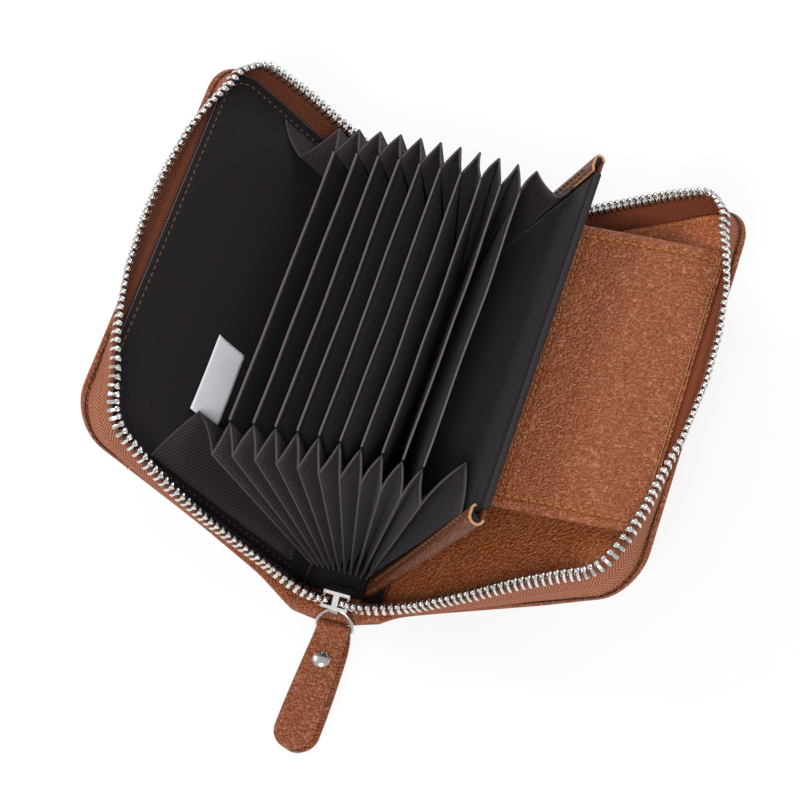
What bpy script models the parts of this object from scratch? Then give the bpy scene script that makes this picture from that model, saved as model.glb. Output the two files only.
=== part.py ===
"""Zip-around card holder with a fanned accordion of card pockets.

World frame: Y runs along the spine (near end at -Y), X to the right, Z up, and the
flat underside of the spine rests on Z = 0. The two covers stand half open.
Each cover has its own frame on its fold axis: x outwards over the cover, z into the
holder, and y along the spine (reversed on the left cover, which is turned half round).
"""

import math

import bmesh
import bpy
from mathutils import Matrix, Vector

MM = 0.001

# Covers and spine
COVER_LENGTH = 110.0 * MM
COVER_WIDTH = 79.0 * MM
CORNER_RADIUS = 11.5 * MM
SPINE_SPAN = 21.0 * MM
SPINE_OVERHANG = 2.0 * MM
LEFT_RISE = math.radians(49.0)
RIGHT_RISE = math.radians(39.0)
CORNER_SEGMENTS = 8

# Plies of a cover
LEATHER = 1.1 * MM
LEATHER_EDGE_ROUND = 0.45 * MM
BOARD = 0.5 * MM
LINING = 0.5 * MM
PLY_GAP = 0.15 * MM
BOARD_INSET = 6.5 * MM
LINING_INSET = 2.9 * MM
PLY_HINGE_SETBACK = 2.0 * MM
COVER_THICKNESS = LEATHER + BOARD + LINING + 2 * PLY_GAP
FOLD_RADIUS = COVER_THICKNESS / 2

# Clearance between a piece and what carries it
SEAT = 0.3 * MM

# Zip tape: a woven strip whose foot is sewn between leather and lining
TAPE = 0.5 * MM
TAPE_INSET = 2.0 * MM
TAPE_FOOT = 2.8 * MM
TAPE_WALL = 6.2 * MM
TAPE_RUN_START = 18.0 * MM
TAPE_STEP = 6.0 * MM
TAPE_END_SECTIONS = 7
TAPE_HEIGHT_ON_PLY = LEATHER - FOLD_RADIUS + PLY_GAP + TAPE / 2

# How far the tape leans outwards, as shares of a right angle, at shares of its run
TAPE_LEAN_SHARES = (
    (0.0, 0.31),
    (0.09, 0.29),
    (0.19, 0.16),
    (0.25, 0.02),
    (0.285, -0.03),
    (0.32, 0.13),
    (0.35, 0.30),
    (0.39, 0.48),
    (0.43, 0.62),
    (0.50, 0.73),
    (0.56, 0.71),
    (0.62, 0.57),
    (0.66, 0.37),
    (0.695, 0.14),
    (0.73, 0.04),
    (0.77, 0.12),
    (0.82, 0.24),
    (1.0, 0.29),
)

# Zip chain: a row of metal teeth clamped along the top edge of the tape
TOOTH_PITCH = 2.03 * MM
TOOTH_HEAD = 9.0 * MM
TOOTH_THICKNESS = 2.3 * MM
BEAD_BOTTOM = TAPE_WALL + SEAT
BEAD_TOP = 7.9 * MM
BEAD_THICKNESS = 1.2 * MM
BEAD_MIDDLE = (BEAD_BOTTOM + BEAD_TOP) / 2
TOOTH_RING_SHARES = ((-0.36, False), (-0.24, True), (0.24, True), (0.36, False))

# Accordion
DIVIDER_COUNT = 10
DIVIDER = 0.5 * MM
DIVIDER_SETBACK = 16.3 * MM
DIVIDER_LENGTH = COVER_LENGTH - 2 * DIVIDER_SETBACK
DIVIDER_DEPTH = 54.2 * MM
DIVIDER_ROOT_PITCH = 1.3 * MM
HEM_THICKNESS = 0.9 * MM
HEM_HEIGHT = 1.4 * MM
END_DIVIDER_ROOT = 5.6 * MM
END_DIVIDER_SPACING = 1.9 * MM
FIRST_LEAN = math.radians(-23.6)
LAST_LEAN = math.radians(15.0)
FAN_POWER_SHARE = 0.9
ROOT_HEIGHT = COVER_THICKNESS + SEAT + DIVIDER / 2
ROOT_ARC_POINTS = 4

# Leather end divider: its leather is turned over both short ends of the lining
END_LEAN = math.radians(27.4)
END_DEPTH = 63.3 * MM
END_SETBACK = 3.5 * MM
END_LENGTH = COVER_LENGTH - 2 * END_SETBACK
END_FACE = 0.8 * MM
END_HEM = 0.6 * MM
END_HEM_WIDTH = 4.4 * MM
END_THICKNESS = 1.8 * MM
END_LINING = 0.45 * MM
END_LINING_DROP = 0.6 * MM

# Pleated gussets that close both ends of the accordion
GUSSET = 0.35 * MM
GUSSET_TIP_REACH = 8.0 * MM
GUSSET_FOLD_WIDTH = 0.6 * MM
GUSSET_FOOT = 1.2 * MM
GUSSET_WIDE_FOOT = 7.0 * MM
GUSSET_DROP = 1.0 * MM
GUSSET_TIP_DROP = 2.4 * MM
GUSSET_SEWN_REACH = 10.4 * MM
GUSSET_SEWN_START = 7.0 * MM
GUSSET_SEWN_END = 56.0 * MM
GUSSET_LEFT_FOLD_WIDTH = 49.0 * MM
GUSSET_LEFT_FOLD_LIFT = 3.4 * MM
GUSSET_RIGHT_FOLD_LIFT = 2.4 * MM
GUSSET_END_TUCK = 0.5 * MM
NEAR_FOLD_INSIDE = 5.7 * MM
FAR_FOLD_OUTSIDE = 3.8 * MM
GUSSET_SIDE_LEAN = math.radians(2.0)

# Slip pocket panel, sewn along the long edge of the right cover
PANEL = 0.9 * MM
PANEL_SETBACK = 15.5 * MM
PANEL_LENGTH = COVER_LENGTH - 2 * PANEL_SETBACK
PANEL_WIDTH = 36.3 * MM
PANEL_SEAM_INSET = 3.2 * MM
PANEL_LIFT = math.radians(31.8)
PANEL_CORNER = 1.6 * MM
PANEL_EDGE_ROUND = 0.3 * MM
PANEL_SEAM_HEIGHT = FOLD_RADIUS + PANEL / 2 + 1.3 * SEAT

# Sewn-in label on the left lining
LABEL = 0.25 * MM
LABEL_LENGTH = 21.0 * MM
LABEL_WIDTH = 9.5 * MM
LABEL_FROM_FOLD = 46.2 * MM
LABEL_FROM_NEAR_EDGE = 32.5 * MM

# Slider
SLIDER_WIDTH = 6.6 * MM
SLIDER_FOOT_WIDTH = 5.4 * MM
SLIDER_LENGTH = 7.2 * MM
SLIDER_PLATE = 0.8 * MM
SLIDER_CHANNEL = 2.8 * MM
SLIDER_POST_WIDTH = 1.5 * MM
SLIDER_POST_LENGTH = 2.2 * MM
SLIDER_LIP = 0.5 * MM
SLIDER_LIP_HEIGHT = 0.8 * MM
SLIDER_ROUND = 0.3 * MM
SLIDER_X = 0.4 * MM
SLIDER_BASE = 4.5 * MM
SLIDER_INSIDE_COVER = 1.6 * MM
SLIDER_TILT = math.radians(36.0)
BRIDGE_WIDTH = 1.8 * MM
BRIDGE_BAR = 0.6 * MM
BRIDGE_HOLE_RADIUS = 0.8 * MM
BRIDGE_RISE = 3.8 * MM
BRIDGE_SINK = 0.3 * MM
BRIDGE_ARC_POINTS = 7
STUB_OUTSIDE_SLIDER = 0.6 * MM
STUB_START_SHARE = 0.22
MOUTH_HALF_SPACING = 2.2 * MM
MOUTH_SPREAD_SHARE = 0.8

# Pull ring and strap
RING_HALF_WIDTH = 4.4 * MM
RING_CORNER = 0.8 * MM
RING_WIRE = 0.5 * MM
RING_SHIFT = 0.5 * MM
RING_ARC_SEGMENTS = 16
RING_CORNER_SEGMENTS = 4
RING_WIRE_SEGMENTS = 8
STRAP = 0.85 * MM
STRAP_LAYER_GAP = 0.5 * MM
STRAP_LENGTH = 32.4 * MM
STRAP_WIDTH = 10.6 * MM
STRAP_LOOP_WIDTH = 7.2 * MM
STRAP_LOOP_CLEARANCE = 0.4 * MM
STRAP_NECK = 2.0 * MM
STRAP_SHOULDER = 20.0 * MM
STRAP_CLOSE = 4.0 * MM
STRAP_FLOOR_GAP = 0.1 * MM
STRAP_YAW_SHARE = 0.03
STRAP_BACK_TURN_SHARE = 0.07
STRAP_TIP_SHARE = 0.12
STRAP_LOOP_ARC_POINTS = 9
STRAP_TIP_RINGS = 5
RIVET_PAST_LOOP = 8.2 * MM
RIVET_FROM_RING = RIVET_PAST_LOOP + STRAP_LOOP_CLEARANCE
RIVET_SHANK = 1.0 * MM
RIVET_HEAD = 2.2 * MM
RIVET_DOME = 0.8 * MM
RIVET_BACK = 0.4 * MM
RIVET_STEPS = 16

# Bottom stop that joins the two rows at the far end
STOP_WIDTH = 5.0 * MM
STOP_DEPTH = 2.6 * MM
STOP_HEIGHT = 3.0 * MM
STOP_ROUND = 0.4 * MM
STOP_BASE = 3.5 * MM
STOP_PAST_COVER = 2.3 * MM

CUT_OVERRUN = 1.0 * MM
MERGE = 0.01 * MM

PART_NAME = "accordion_card_holder"


def clear_scene():
    for obj in list(bpy.data.objects):
        bpy.data.objects.remove(obj, do_unlink=True)


def new_collection(name):
    group = bpy.data.collections.new(name)
    bpy.context.scene.collection.children.link(group)
    return group


clear_scene()
PARTS = new_collection(PART_NAME)
CUTTERS = new_collection("cutters")


def material(name, colour, roughness, metallic=0.0):
    finish = bpy.data.materials.new(name)
    finish.use_nodes = True
    shader = finish.node_tree.nodes["Principled BSDF"]
    shader.inputs["Base Color"].default_value = (*colour, 1.0)
    shader.inputs["Roughness"].default_value = roughness
    shader.inputs["Metallic"].default_value = metallic
    return finish


TAN_LEATHER = (0.36, 0.13, 0.045)
DARK_FABRIC = (0.028, 0.018, 0.018)
TAPE_BROWN = (0.33, 0.12, 0.06)
NICKEL = (0.75, 0.75, 0.76)


def frame(name, location, turn, parent=None):
    """An empty that carries a body; its origin lies on the body's joint axis."""
    empty = bpy.data.objects.new(name, None)
    PARTS.objects.link(empty)
    empty.parent = parent
    empty.matrix_local = Matrix.Translation(location) @ turn.to_4x4()
    return empty


def place(obj, parent, finish, location=(0, 0, 0), rotation=(0, 0, 0), group=PARTS):
    group.objects.link(obj)
    obj.parent = parent
    obj.location = location
    obj.rotation_euler = rotation
    if finish is not None:
        obj.data.materials.append(finish)
    return obj


def mesh_object(name, bm, parent, finish, **placing):
    bmesh.ops.remove_doubles(bm, verts=bm.verts, dist=MERGE)
    bmesh.ops.recalc_face_normals(bm, faces=bm.faces)
    mesh = bpy.data.meshes.new(name)
    bm.to_mesh(mesh)
    bm.free()
    mesh.shade_smooth()
    mesh.set_sharp_from_angle(angle=math.radians(35.0))
    return place(bpy.data.objects.new(name, mesh), parent, finish, **placing)


def cutter(obj):
    obj.hide_render = True
    obj.display_type = "WIRE"
    return obj


def boolean(obj, tool, operation):
    step = obj.modifiers.new(operation.lower(), "BOOLEAN")
    step.operation = operation
    step.solver = "EXACT"
    step.object = tool
    return step


def box_mesh(low, high):
    bm = bmesh.new()
    bmesh.ops.create_cube(bm, size=1.0)
    size = Vector(high) - Vector(low)
    bmesh.ops.scale(bm, vec=size, verts=bm.verts)
    bmesh.ops.translate(bm, vec=(Vector(high) + Vector(low)) / 2, verts=bm.verts)
    return bm


def round_upright_edges(bm, radius, chosen, segments):
    """Rounds the edges that run along z and whose middle passes the test."""
    edges = [
        e
        for e in bm.edges
        if abs(e.verts[0].co.x - e.verts[1].co.x) < MERGE
        and abs(e.verts[0].co.y - e.verts[1].co.y) < MERGE
        and chosen((e.verts[0].co + e.verts[1].co) / 2)
    ]
    bmesh.ops.bevel(
        bm, geom=edges, offset=radius, segments=segments, profile=0.5, affect="EDGES"
    )


def round_rims(bm, radius, segments=2):
    """Rounds the edges around the top and bottom faces."""
    edges = [
        e
        for e in bm.edges
        if abs(e.verts[0].co.z - e.verts[1].co.z) < MERGE
        and len({round(f.normal.z) for f in e.link_faces}) > 1
    ]
    bmesh.ops.bevel(
        bm, geom=edges, offset=radius, segments=segments, profile=0.5, affect="EDGES"
    )


def sheet_plate(low, high, corner, segments, rim=0.0):
    """A flat ply with its two outer corners rounded."""
    bm = box_mesh(low, high)
    if corner > 0:
        outer = (low[0] + high[0]) / 2
        round_upright_edges(bm, corner, lambda p: p.x > outer, segments)
    if rim > 0:
        bm.normal_update()
        round_rims(bm, rim)
    return bm


def prism(name, outline, span, parent, finish, **placing):
    """A flat outline pushed out by half the span to both sides of its plane."""
    curve = bpy.data.curves.new(name, "CURVE")
    curve.dimensions = "2D"
    curve.fill_mode = "BOTH"
    curve.extrude = span / 2
    spline = curve.splines.new("POLY")
    spline.points.add(len(outline) - 1)
    for point, (x, y) in zip(spline.points, outline):
        point.co = (x, y, 0, 1)
    spline.use_cyclic_u = True
    return place(bpy.data.objects.new(name, curve), parent, finish, **placing)


ALONG_SPINE = (math.pi / 2, 0, 0)


def as_mesh(obj):
    """Replaces a curve object by its welded mesh, so that it can be cut or joined."""
    bpy.context.view_layer.update()
    depsgraph = bpy.context.evaluated_depsgraph_get()
    mesh = bpy.data.meshes.new_from_object(obj.evaluated_get(depsgraph))
    bm = bmesh.new()
    bm.from_mesh(mesh)
    bmesh.ops.remove_doubles(bm, verts=bm.verts, dist=MERGE)
    bmesh.ops.recalc_face_normals(bm, faces=bm.faces)
    bm.to_mesh(mesh)
    bm.free()
    name = obj.name
    group = obj.users_collection[0]
    parent, place_in_world = obj.parent, obj.matrix_world.copy()
    bpy.data.objects.remove(obj, do_unlink=True)
    new = bpy.data.objects.new(name, mesh)
    group.objects.link(new)
    new.parent = parent
    new.matrix_world = place_in_world
    return new


def loft(name, rings, parent, finish, **placing):
    """A solid skinned over rings of equal point count, closed at both ends."""
    bm = bmesh.new()
    rows = [[bm.verts.new(p) for p in ring] for ring in rings]
    count = len(rows[0])
    for low, high in zip(rows, rows[1:]):
        for i in range(count):
            j = (i + 1) % count
            bm.faces.new((low[i], low[j], high[j], high[i]))
    bm.faces.new(rows[0])
    bm.faces.new(rows[-1])
    bmesh.ops.triangulate(bm, faces=bm.faces)
    return mesh_object(name, bm, parent, finish, **placing)


def curve_between(start, start_pull, end, end_pull, share):
    """A point on a smooth curve between two ends with their pulls."""
    a, b = 1 - share, share
    return (
        start * (a**3)
        + (start + start_pull) * (3 * a * a * b)
        + (end - end_pull) * (3 * a * b * b)
        + end * (b**3)
    )


# Frames of the moving bodies
FOLD_HEIGHT = FOLD_RADIUS
HALF_SPAN = SPINE_SPAN / 2
LEFT_TURN = Matrix.Rotation(math.pi, 3, "Z") @ Matrix.Rotation(-LEFT_RISE, 3, "Y")
RIGHT_TURN = Matrix.Rotation(-RIGHT_RISE, 3, "Y")
SPINE_FRAME = frame("spine_frame", Vector(), Matrix.Identity(3))
LEFT_FRAME = frame(
    "left_cover_axis", Vector((-HALF_SPAN, 0, FOLD_HEIGHT)), LEFT_TURN, SPINE_FRAME
)
RIGHT_FRAME = frame(
    "right_cover_axis", Vector((HALF_SPAN, 0, FOLD_HEIGHT)), RIGHT_TURN, SPINE_FRAME
)


class Side:
    """One cover: its frame, its names and the direction of the near end in it."""

    def __init__(self, name, empty, turn, near, tooth_phase):
        self.name = name
        self.empty = empty
        self.turn = turn
        self.near = near
        self.tooth_phase = tooth_phase

    def world(self, point):
        return self.turn @ Vector(point) + self.origin()

    def origin(self):
        across = -HALF_SPAN if self.name == "left" else HALF_SPAN
        return Vector((across, 0, FOLD_HEIGHT))


# The slider leans out over the end of the spine, its mouth upwards
SLIDER_ORIGIN = Vector((SLIDER_X, -(COVER_LENGTH / 2 - SLIDER_INSIDE_COVER), SLIDER_BASE))
SLIDER_TURN = Matrix.Rotation(SLIDER_TILT, 3, "X")
STOP_Y = COVER_LENGTH / 2 + STOP_PAST_COVER

LEFT = Side("left", LEFT_FRAME, LEFT_TURN, 1, 0.0)
RIGHT = Side("right", RIGHT_FRAME, RIGHT_TURN, -1, 0.5)


def make_spine():
    """Spine leather between the two folds, and the strip that the accordion is sewn to."""
    sweep = FOLD_RADIUS + SEAT
    half_turn = math.asin(min(1.0, FOLD_HEIGHT / sweep))
    top_turn = math.asin((LEATHER - FOLD_HEIGHT) / sweep)
    right_end = []
    for i in range(ROOT_ARC_POINTS + 1):
        angle = -half_turn + (half_turn + top_turn) * i / ROOT_ARC_POINTS
        x = HALF_SPAN - sweep * math.cos(angle)
        right_end.append((x, FOLD_HEIGHT + sweep * math.sin(angle)))
    left_end = [(-x, z) for x, z in reversed(right_end)]
    leather = material("spine_leather", TAN_LEATHER, 0.5)
    length = COVER_LENGTH + 2 * SPINE_OVERHANG
    outline = right_end + left_end
    prism("spine_leather", outline, length, SPINE_FRAME, leather, rotation=ALONG_SPINE)
    half = HALF_SPAN - FOLD_RADIUS - 2 * SEAT
    reach = COVER_LENGTH / 2 - TAPE_INSET - TAPE_FOOT
    bm = box_mesh(
        (-half, -reach, LEATHER + PLY_GAP),
        (half, reach, COVER_THICKNESS),
    )
    mesh_object("spine_lining", bm, SPINE_FRAME, material("spine_lining", DARK_FABRIC, 0.8))


def make_cover(side, lining_colour):
    """Outer leather with its round fold, stiffening board and inner lining."""
    bottom = -FOLD_RADIUS
    half = COVER_LENGTH / 2
    leather = material(side.name + "_cover_leather", TAN_LEATHER, 0.5)
    bm = sheet_plate(
        (0, -half, bottom),
        (COVER_WIDTH, half, bottom + LEATHER),
        CORNER_RADIUS,
        CORNER_SEGMENTS,
        LEATHER_EDGE_ROUND,
    )
    skin = mesh_object(side.name + "_cover_leather", bm, side.empty, leather)
    roll = bmesh.new()
    bmesh.ops.create_cone(
        roll,
        cap_ends=True,
        segments=16,
        radius1=FOLD_RADIUS,
        radius2=FOLD_RADIUS,
        depth=COVER_LENGTH - 2 * LEATHER_EDGE_ROUND,
    )
    tool = mesh_object(
        side.name + "_fold_roll", roll, side.empty, None, rotation=ALONG_SPINE, group=CUTTERS
    )
    boolean(skin, cutter(tool), "UNION")

    board_bottom = bottom + LEATHER + PLY_GAP
    inner = half - BOARD_INSET
    bm = sheet_plate(
        (PLY_HINGE_SETBACK, -inner, board_bottom),
        (COVER_WIDTH - BOARD_INSET, inner, board_bottom + BOARD),
        CORNER_RADIUS - BOARD_INSET,
        CORNER_SEGMENTS // 2,
    )
    board = material(side.name + "_cover_board", (0.5, 0.45, 0.38), 0.9)
    mesh_object(side.name + "_cover_board", bm, side.empty, board)

    lining_bottom = board_bottom + BOARD + PLY_GAP
    inner = half - LINING_INSET
    bm = sheet_plate(
        (PLY_HINGE_SETBACK, -inner, lining_bottom),
        (COVER_WIDTH - LINING_INSET, inner, lining_bottom + LINING),
        CORNER_RADIUS - LINING_INSET,
        CORNER_SEGMENTS,
    )
    lining = material(side.name + "_cover_lining", lining_colour, 0.7)
    mesh_object(side.name + "_cover_lining", bm, side.empty, lining)


class TapeRun:
    """The line that the foot of the tape follows round one cover, near end first."""

    def __init__(self, side):
        self.side = side
        self.straight = COVER_WIDTH - CORNER_RADIUS - TAPE_RUN_START
        self.long = COVER_LENGTH - 2 * CORNER_RADIUS
        self.radius = CORNER_RADIUS - TAPE_INSET
        self.arc = math.pi / 2 * self.radius
        self.total = 2 * self.straight + 2 * self.arc + self.long

    def at(self, distance):
        """Point, outward direction and travel direction in the plane of the cover."""
        near = self.side.near
        across = COVER_WIDTH - CORNER_RADIUS
        half_long = self.long / 2
        edge = COVER_LENGTH / 2 - TAPE_INSET
        steps = (self.straight, self.arc, self.long, self.arc, self.straight)
        part = 0
        while part < 4 and distance > steps[part]:
            distance -= steps[part]
            part += 1
        if part == 0:
            spot, out = (TAPE_RUN_START + distance, edge), (0.0, 1.0)
        elif part == 2:
            spot, out = (COVER_WIDTH - TAPE_INSET, half_long - distance), (1.0, 0.0)
        elif part == 4:
            spot, out = (across - distance, -edge), (0.0, -1.0)
        else:
            turned = distance / self.radius + (0 if part == 1 else math.pi / 2)
            out = (math.sin(turned), math.cos(turned))
            centre = half_long if part == 1 else -half_long
            spot = (across + self.radius * out[0], centre + self.radius * out[1])
        point = Vector((spot[0], near * spot[1], TAPE_HEIGHT_ON_PLY))
        outward = Vector((out[0], near * out[1], 0))
        return point, outward

    def lean(self, distance):
        """Lean of the tape from upright, eased between the shares of the table."""
        share = min(1.0, max(0.0, distance / self.total))
        table = TAPE_LEAN_SHARES
        for (s0, a0), (s1, a1) in zip(table, table[1:]):
            if share <= s1:
                t = (share - s0) / (s1 - s0)
                return math.pi / 2 * (a0 + (a1 - a0) * t)
        return math.pi / 2 * table[-1][1]

    def axes(self, distance):
        """Root point, direction up the tape and direction through the tape."""
        point, outward = self.at(distance)
        lean = self.lean(distance)
        up = outward * math.sin(lean) + Vector((0, 0, math.cos(lean)))
        through = outward * math.cos(lean) - Vector((0, 0, math.sin(lean)))
        return point, outward, up, through

    def stops(self):
        """Distances of the tape's sections: even steps, finer round the corners."""
        marks = [0.0]
        for length, count in (
            (self.straight, round(self.straight / TAPE_STEP)),
            (self.arc, CORNER_SEGMENTS),
            (self.long, round(self.long / TAPE_STEP)),
            (self.arc, CORNER_SEGMENTS),
            (self.straight, round(self.straight / TAPE_STEP)),
        ):
            start = marks[-1]
            marks += [start + length * (i + 1) / count for i in range(count)]
        return marks


def tape_ring(run, distance):
    """Section of the tape: a foot between the plies and a wall that leans outwards."""
    point, outward, up, through = run.axes(distance)
    half = TAPE / 2
    lift = Vector((0, 0, half))
    heel = point - outward * TAPE_FOOT
    lean = run.lean(distance)
    mitre = half * math.tan((math.pi / 2 - lean) / 2)
    outer_bend = point - lift + outward * mitre
    inner_bend = point + lift - outward * mitre
    top = point + up * TAPE_WALL
    return [
        heel - lift,
        outer_bend,
        top + through * half,
        top - through * half,
        inner_bend,
        heel + lift,
    ]


def chain_ring(point, up, through, tooth):
    """Section of the chain: the bead on the tape edge, or a whole tooth."""
    top = TOOTH_HEAD if tooth else BEAD_TOP
    half = (TOOTH_THICKNESS if tooth else BEAD_THICKNESS) / 2
    low, high = point + up * BEAD_BOTTOM, point + up * top
    return [low - through * half, low + through * half, high + through * half, high - through * half]


def make_zip_side(side):
    """Tape and row of teeth along the three free edges of one cover."""
    run = TapeRun(side)
    tape = material(side.name + "_zip_tape", TAPE_BROWN, 0.85)
    rings = [tape_ring(run, d) for d in run.stops()]
    loft(side.name + "_zip_tape", rings, side.empty, tape)
    metal = material(side.name + "_zip_teeth", NICKEL, 0.3, 1.0)
    count = int(run.total / TOOTH_PITCH)
    pitch = run.total / count
    rings = []
    for i in range(count):
        middle = pitch * (i + 0.5)
        for share, tooth in TOOTH_RING_SHARES:
            point, outward, up, through = run.axes(middle + share * pitch)
            rings.append(chain_ring(point, up, through, tooth))
    loft(side.name + "_zip_teeth", rings, side.empty, metal)
    return run


def make_zip_end(side, run, end):
    """The soft ends of tape and chain that run from a cover down to the spine."""
    near = end == "near"
    sign = -1 if near else 1
    across = -1 if side.name == "left" else 1
    point, outward, up, through = run.axes(0.0 if near else run.total)
    row_root = side.world(point)
    row_up = side.turn @ up
    row_travel = side.turn @ Vector((1, 0, 0))
    start = Vector((across * MOUTH_HALF_SPACING, 0, SEAT + SLIDER_LENGTH))
    leave = Vector((across * MOUTH_SPREAD_SHARE, 0, 1)).normalized()
    if near:
        start = SLIDER_TURN @ start + SLIDER_ORIGIN
        leave = SLIDER_TURN @ leave
    else:
        start = Vector((SLIDER_X + start.x, STOP_Y, STOP_BASE + SEAT + STOP_HEIGHT))
    finish = row_root + row_up * BEAD_MIDDLE
    pull = (finish - start).length / 3
    leave = leave * pull
    arrive = row_travel * pull
    mouth_rise = Vector((-across, 0, 0))
    gap_share = TAPE / pull / 6

    def chain_line(share):
        """Middle of the bead, direction up the tooth and direction through it."""
        middle = curve_between(start, leave, finish, arrive, share)
        ahead = curve_between(start, leave, finish, arrive, share + gap_share)
        travel = (ahead - middle).normalized()
        rise = mouth_rise.lerp(row_up, share)
        rise = (rise - travel * rise.dot(travel)).normalized()
        return middle, rise, travel.cross(rise).normalized()

    side_x = SLIDER_X + across * (SLIDER_WIDTH / 2 + STUB_OUTSIDE_SLIDER)
    edge = sign * (COVER_LENGTH / 2 - TAPE_INSET)
    spine_root = Vector((side_x, edge, LEATHER + SEAT + TAPE / 2))
    reach = (row_root - spine_root).length / 3
    along_spine = Vector((across, 0, 0)) * reach
    tape_rings = []
    for i in range(TAPE_END_SECTIONS):
        share = (1 - gap_share) * i / (TAPE_END_SECTIONS - 1)
        root = curve_between(spine_root, along_spine, row_root, row_travel * reach, share)
        beyond = share + gap_share
        ahead = curve_between(spine_root, along_spine, row_root, row_travel * reach, beyond)
        middle, rise, through = chain_line(STUB_START_SHARE + (1 - STUB_START_SHARE) * share)
        top = middle - rise * (BEAD_MIDDLE - TAPE_WALL)
        face = (ahead - root).cross(top - root).normalized() * TAPE / 2
        tape_rings.append([root - face, root + face, top + face, top - face])
    name = end + "_" + side.name
    tape = material(name + "_tape_end", TAPE_BROWN, 0.85)
    loft(name + "_tape_end", tape_rings, SPINE_FRAME, tape)

    count = max(3, round((finish - start).length / TOOTH_PITCH))
    rings = []
    for i in range(count):
        for offset, tooth in TOOTH_RING_SHARES:
            middle, rise, through = chain_line((i + 0.5 + offset) / count)
            rings.append(chain_ring(middle - rise * BEAD_MIDDLE, rise, through, tooth))
    metal = material(name + "_chain_end", NICKEL, 0.3, 1.0)
    loft(name + "_chain_end", rings, SPINE_FRAME, metal)


def divider_root(index):
    last = END_DIVIDER_ROOT - END_DIVIDER_SPACING
    return last - (DIVIDER_COUNT - 1 - index) * DIVIDER_ROOT_PITCH


def divider_lean(index):
    share = max(0.0, index / (DIVIDER_COUNT - 1))
    return FIRST_LEAN + (LAST_LEAN - FIRST_LEAN) * share**FAN_POWER_SHARE


def fan_point(root, lean, distance, y):
    """World point at a distance up a panel that leans about its root."""
    return Vector((root + distance * math.sin(lean), y, ROOT_HEIGHT + distance * math.cos(lean)))


def divider_outline():
    """Rounded root, thin panel and the thicker hem along the top edge."""
    half, hem = DIVIDER / 2, HEM_THICKNESS / 2
    neck = DIVIDER_DEPTH - HEM_HEIGHT
    root = []
    for i in range(ROOT_ARC_POINTS + 1):
        angle = math.pi + math.pi * i / ROOT_ARC_POINTS
        root.append((half * math.cos(angle), half * math.sin(angle)))
    slope = hem - half
    return root + [
        (half, neck),
        (hem, neck + slope),
        (hem, DIVIDER_DEPTH - slope),
        (half, DIVIDER_DEPTH),
        (-half, DIVIDER_DEPTH),
        (-hem, DIVIDER_DEPTH - slope),
        (-hem, neck + slope),
        (-half, neck),
    ]


def make_dividers():
    outline = divider_outline()
    for index in range(DIVIDER_COUNT):
        name = "divider_%02d" % (index + 1)
        axis = frame(
            name + "_axis",
            Vector((divider_root(index), 0, ROOT_HEIGHT)),
            Matrix.Rotation(divider_lean(index), 3, "Y"),
            SPINE_FRAME,
        )
        fabric = material(name, DARK_FABRIC, 0.75)
        prism(name, outline, DIVIDER_LENGTH, axis, fabric, rotation=ALONG_SPINE)


END_FRAME = frame(
    "end_divider_axis",
    Vector((END_DIVIDER_ROOT, 0, ROOT_HEIGHT)),
    Matrix.Rotation(END_LEAN, 3, "Y"),
    SPINE_FRAME,
)


def make_end_divider():
    """Leather wall with its short ends turned back, and its fabric lining."""
    half, end = END_THICKNESS / 2, END_LENGTH / 2
    face, lip = half - END_FACE, -half + END_HEM
    turned = end - END_HEM_WIDTH
    outer, inner = half / 2, (face - lip) / 4
    near_end = [
        (-half, -turned),
        (-half, -end + outer),
        (-half + outer, -end),
        (half - outer, -end),
        (half, -end + outer),
    ]
    far_end = [(x, -y) for x, y in reversed(near_end)]
    inner_far = [
        (lip, turned),
        (lip, end - END_FACE),
        (lip + inner, end - END_FACE + inner),
        (face - inner, end - END_FACE + inner),
        (face, end - END_FACE),
    ]
    inner_near = [(x, -y) for x, y in reversed(inner_far)]
    outline = near_end + far_end + inner_far + inner_near
    leather = material("end_divider_leather", TAN_LEATHER, 0.5)
    prism(
        "end_divider_leather", outline, END_DEPTH, END_FRAME, leather, location=(0, 0, END_DEPTH / 2)
    )
    width = turned - SEAT
    right = face - SEAT
    bm = box_mesh((right - END_LINING, -width, 0), (right, width, END_DEPTH - END_LINING_DROP))
    fabric = material("end_divider_lining", DARK_FABRIC, 0.75)
    mesh_object("end_divider_lining", bm, END_FRAME, fabric)


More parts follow.
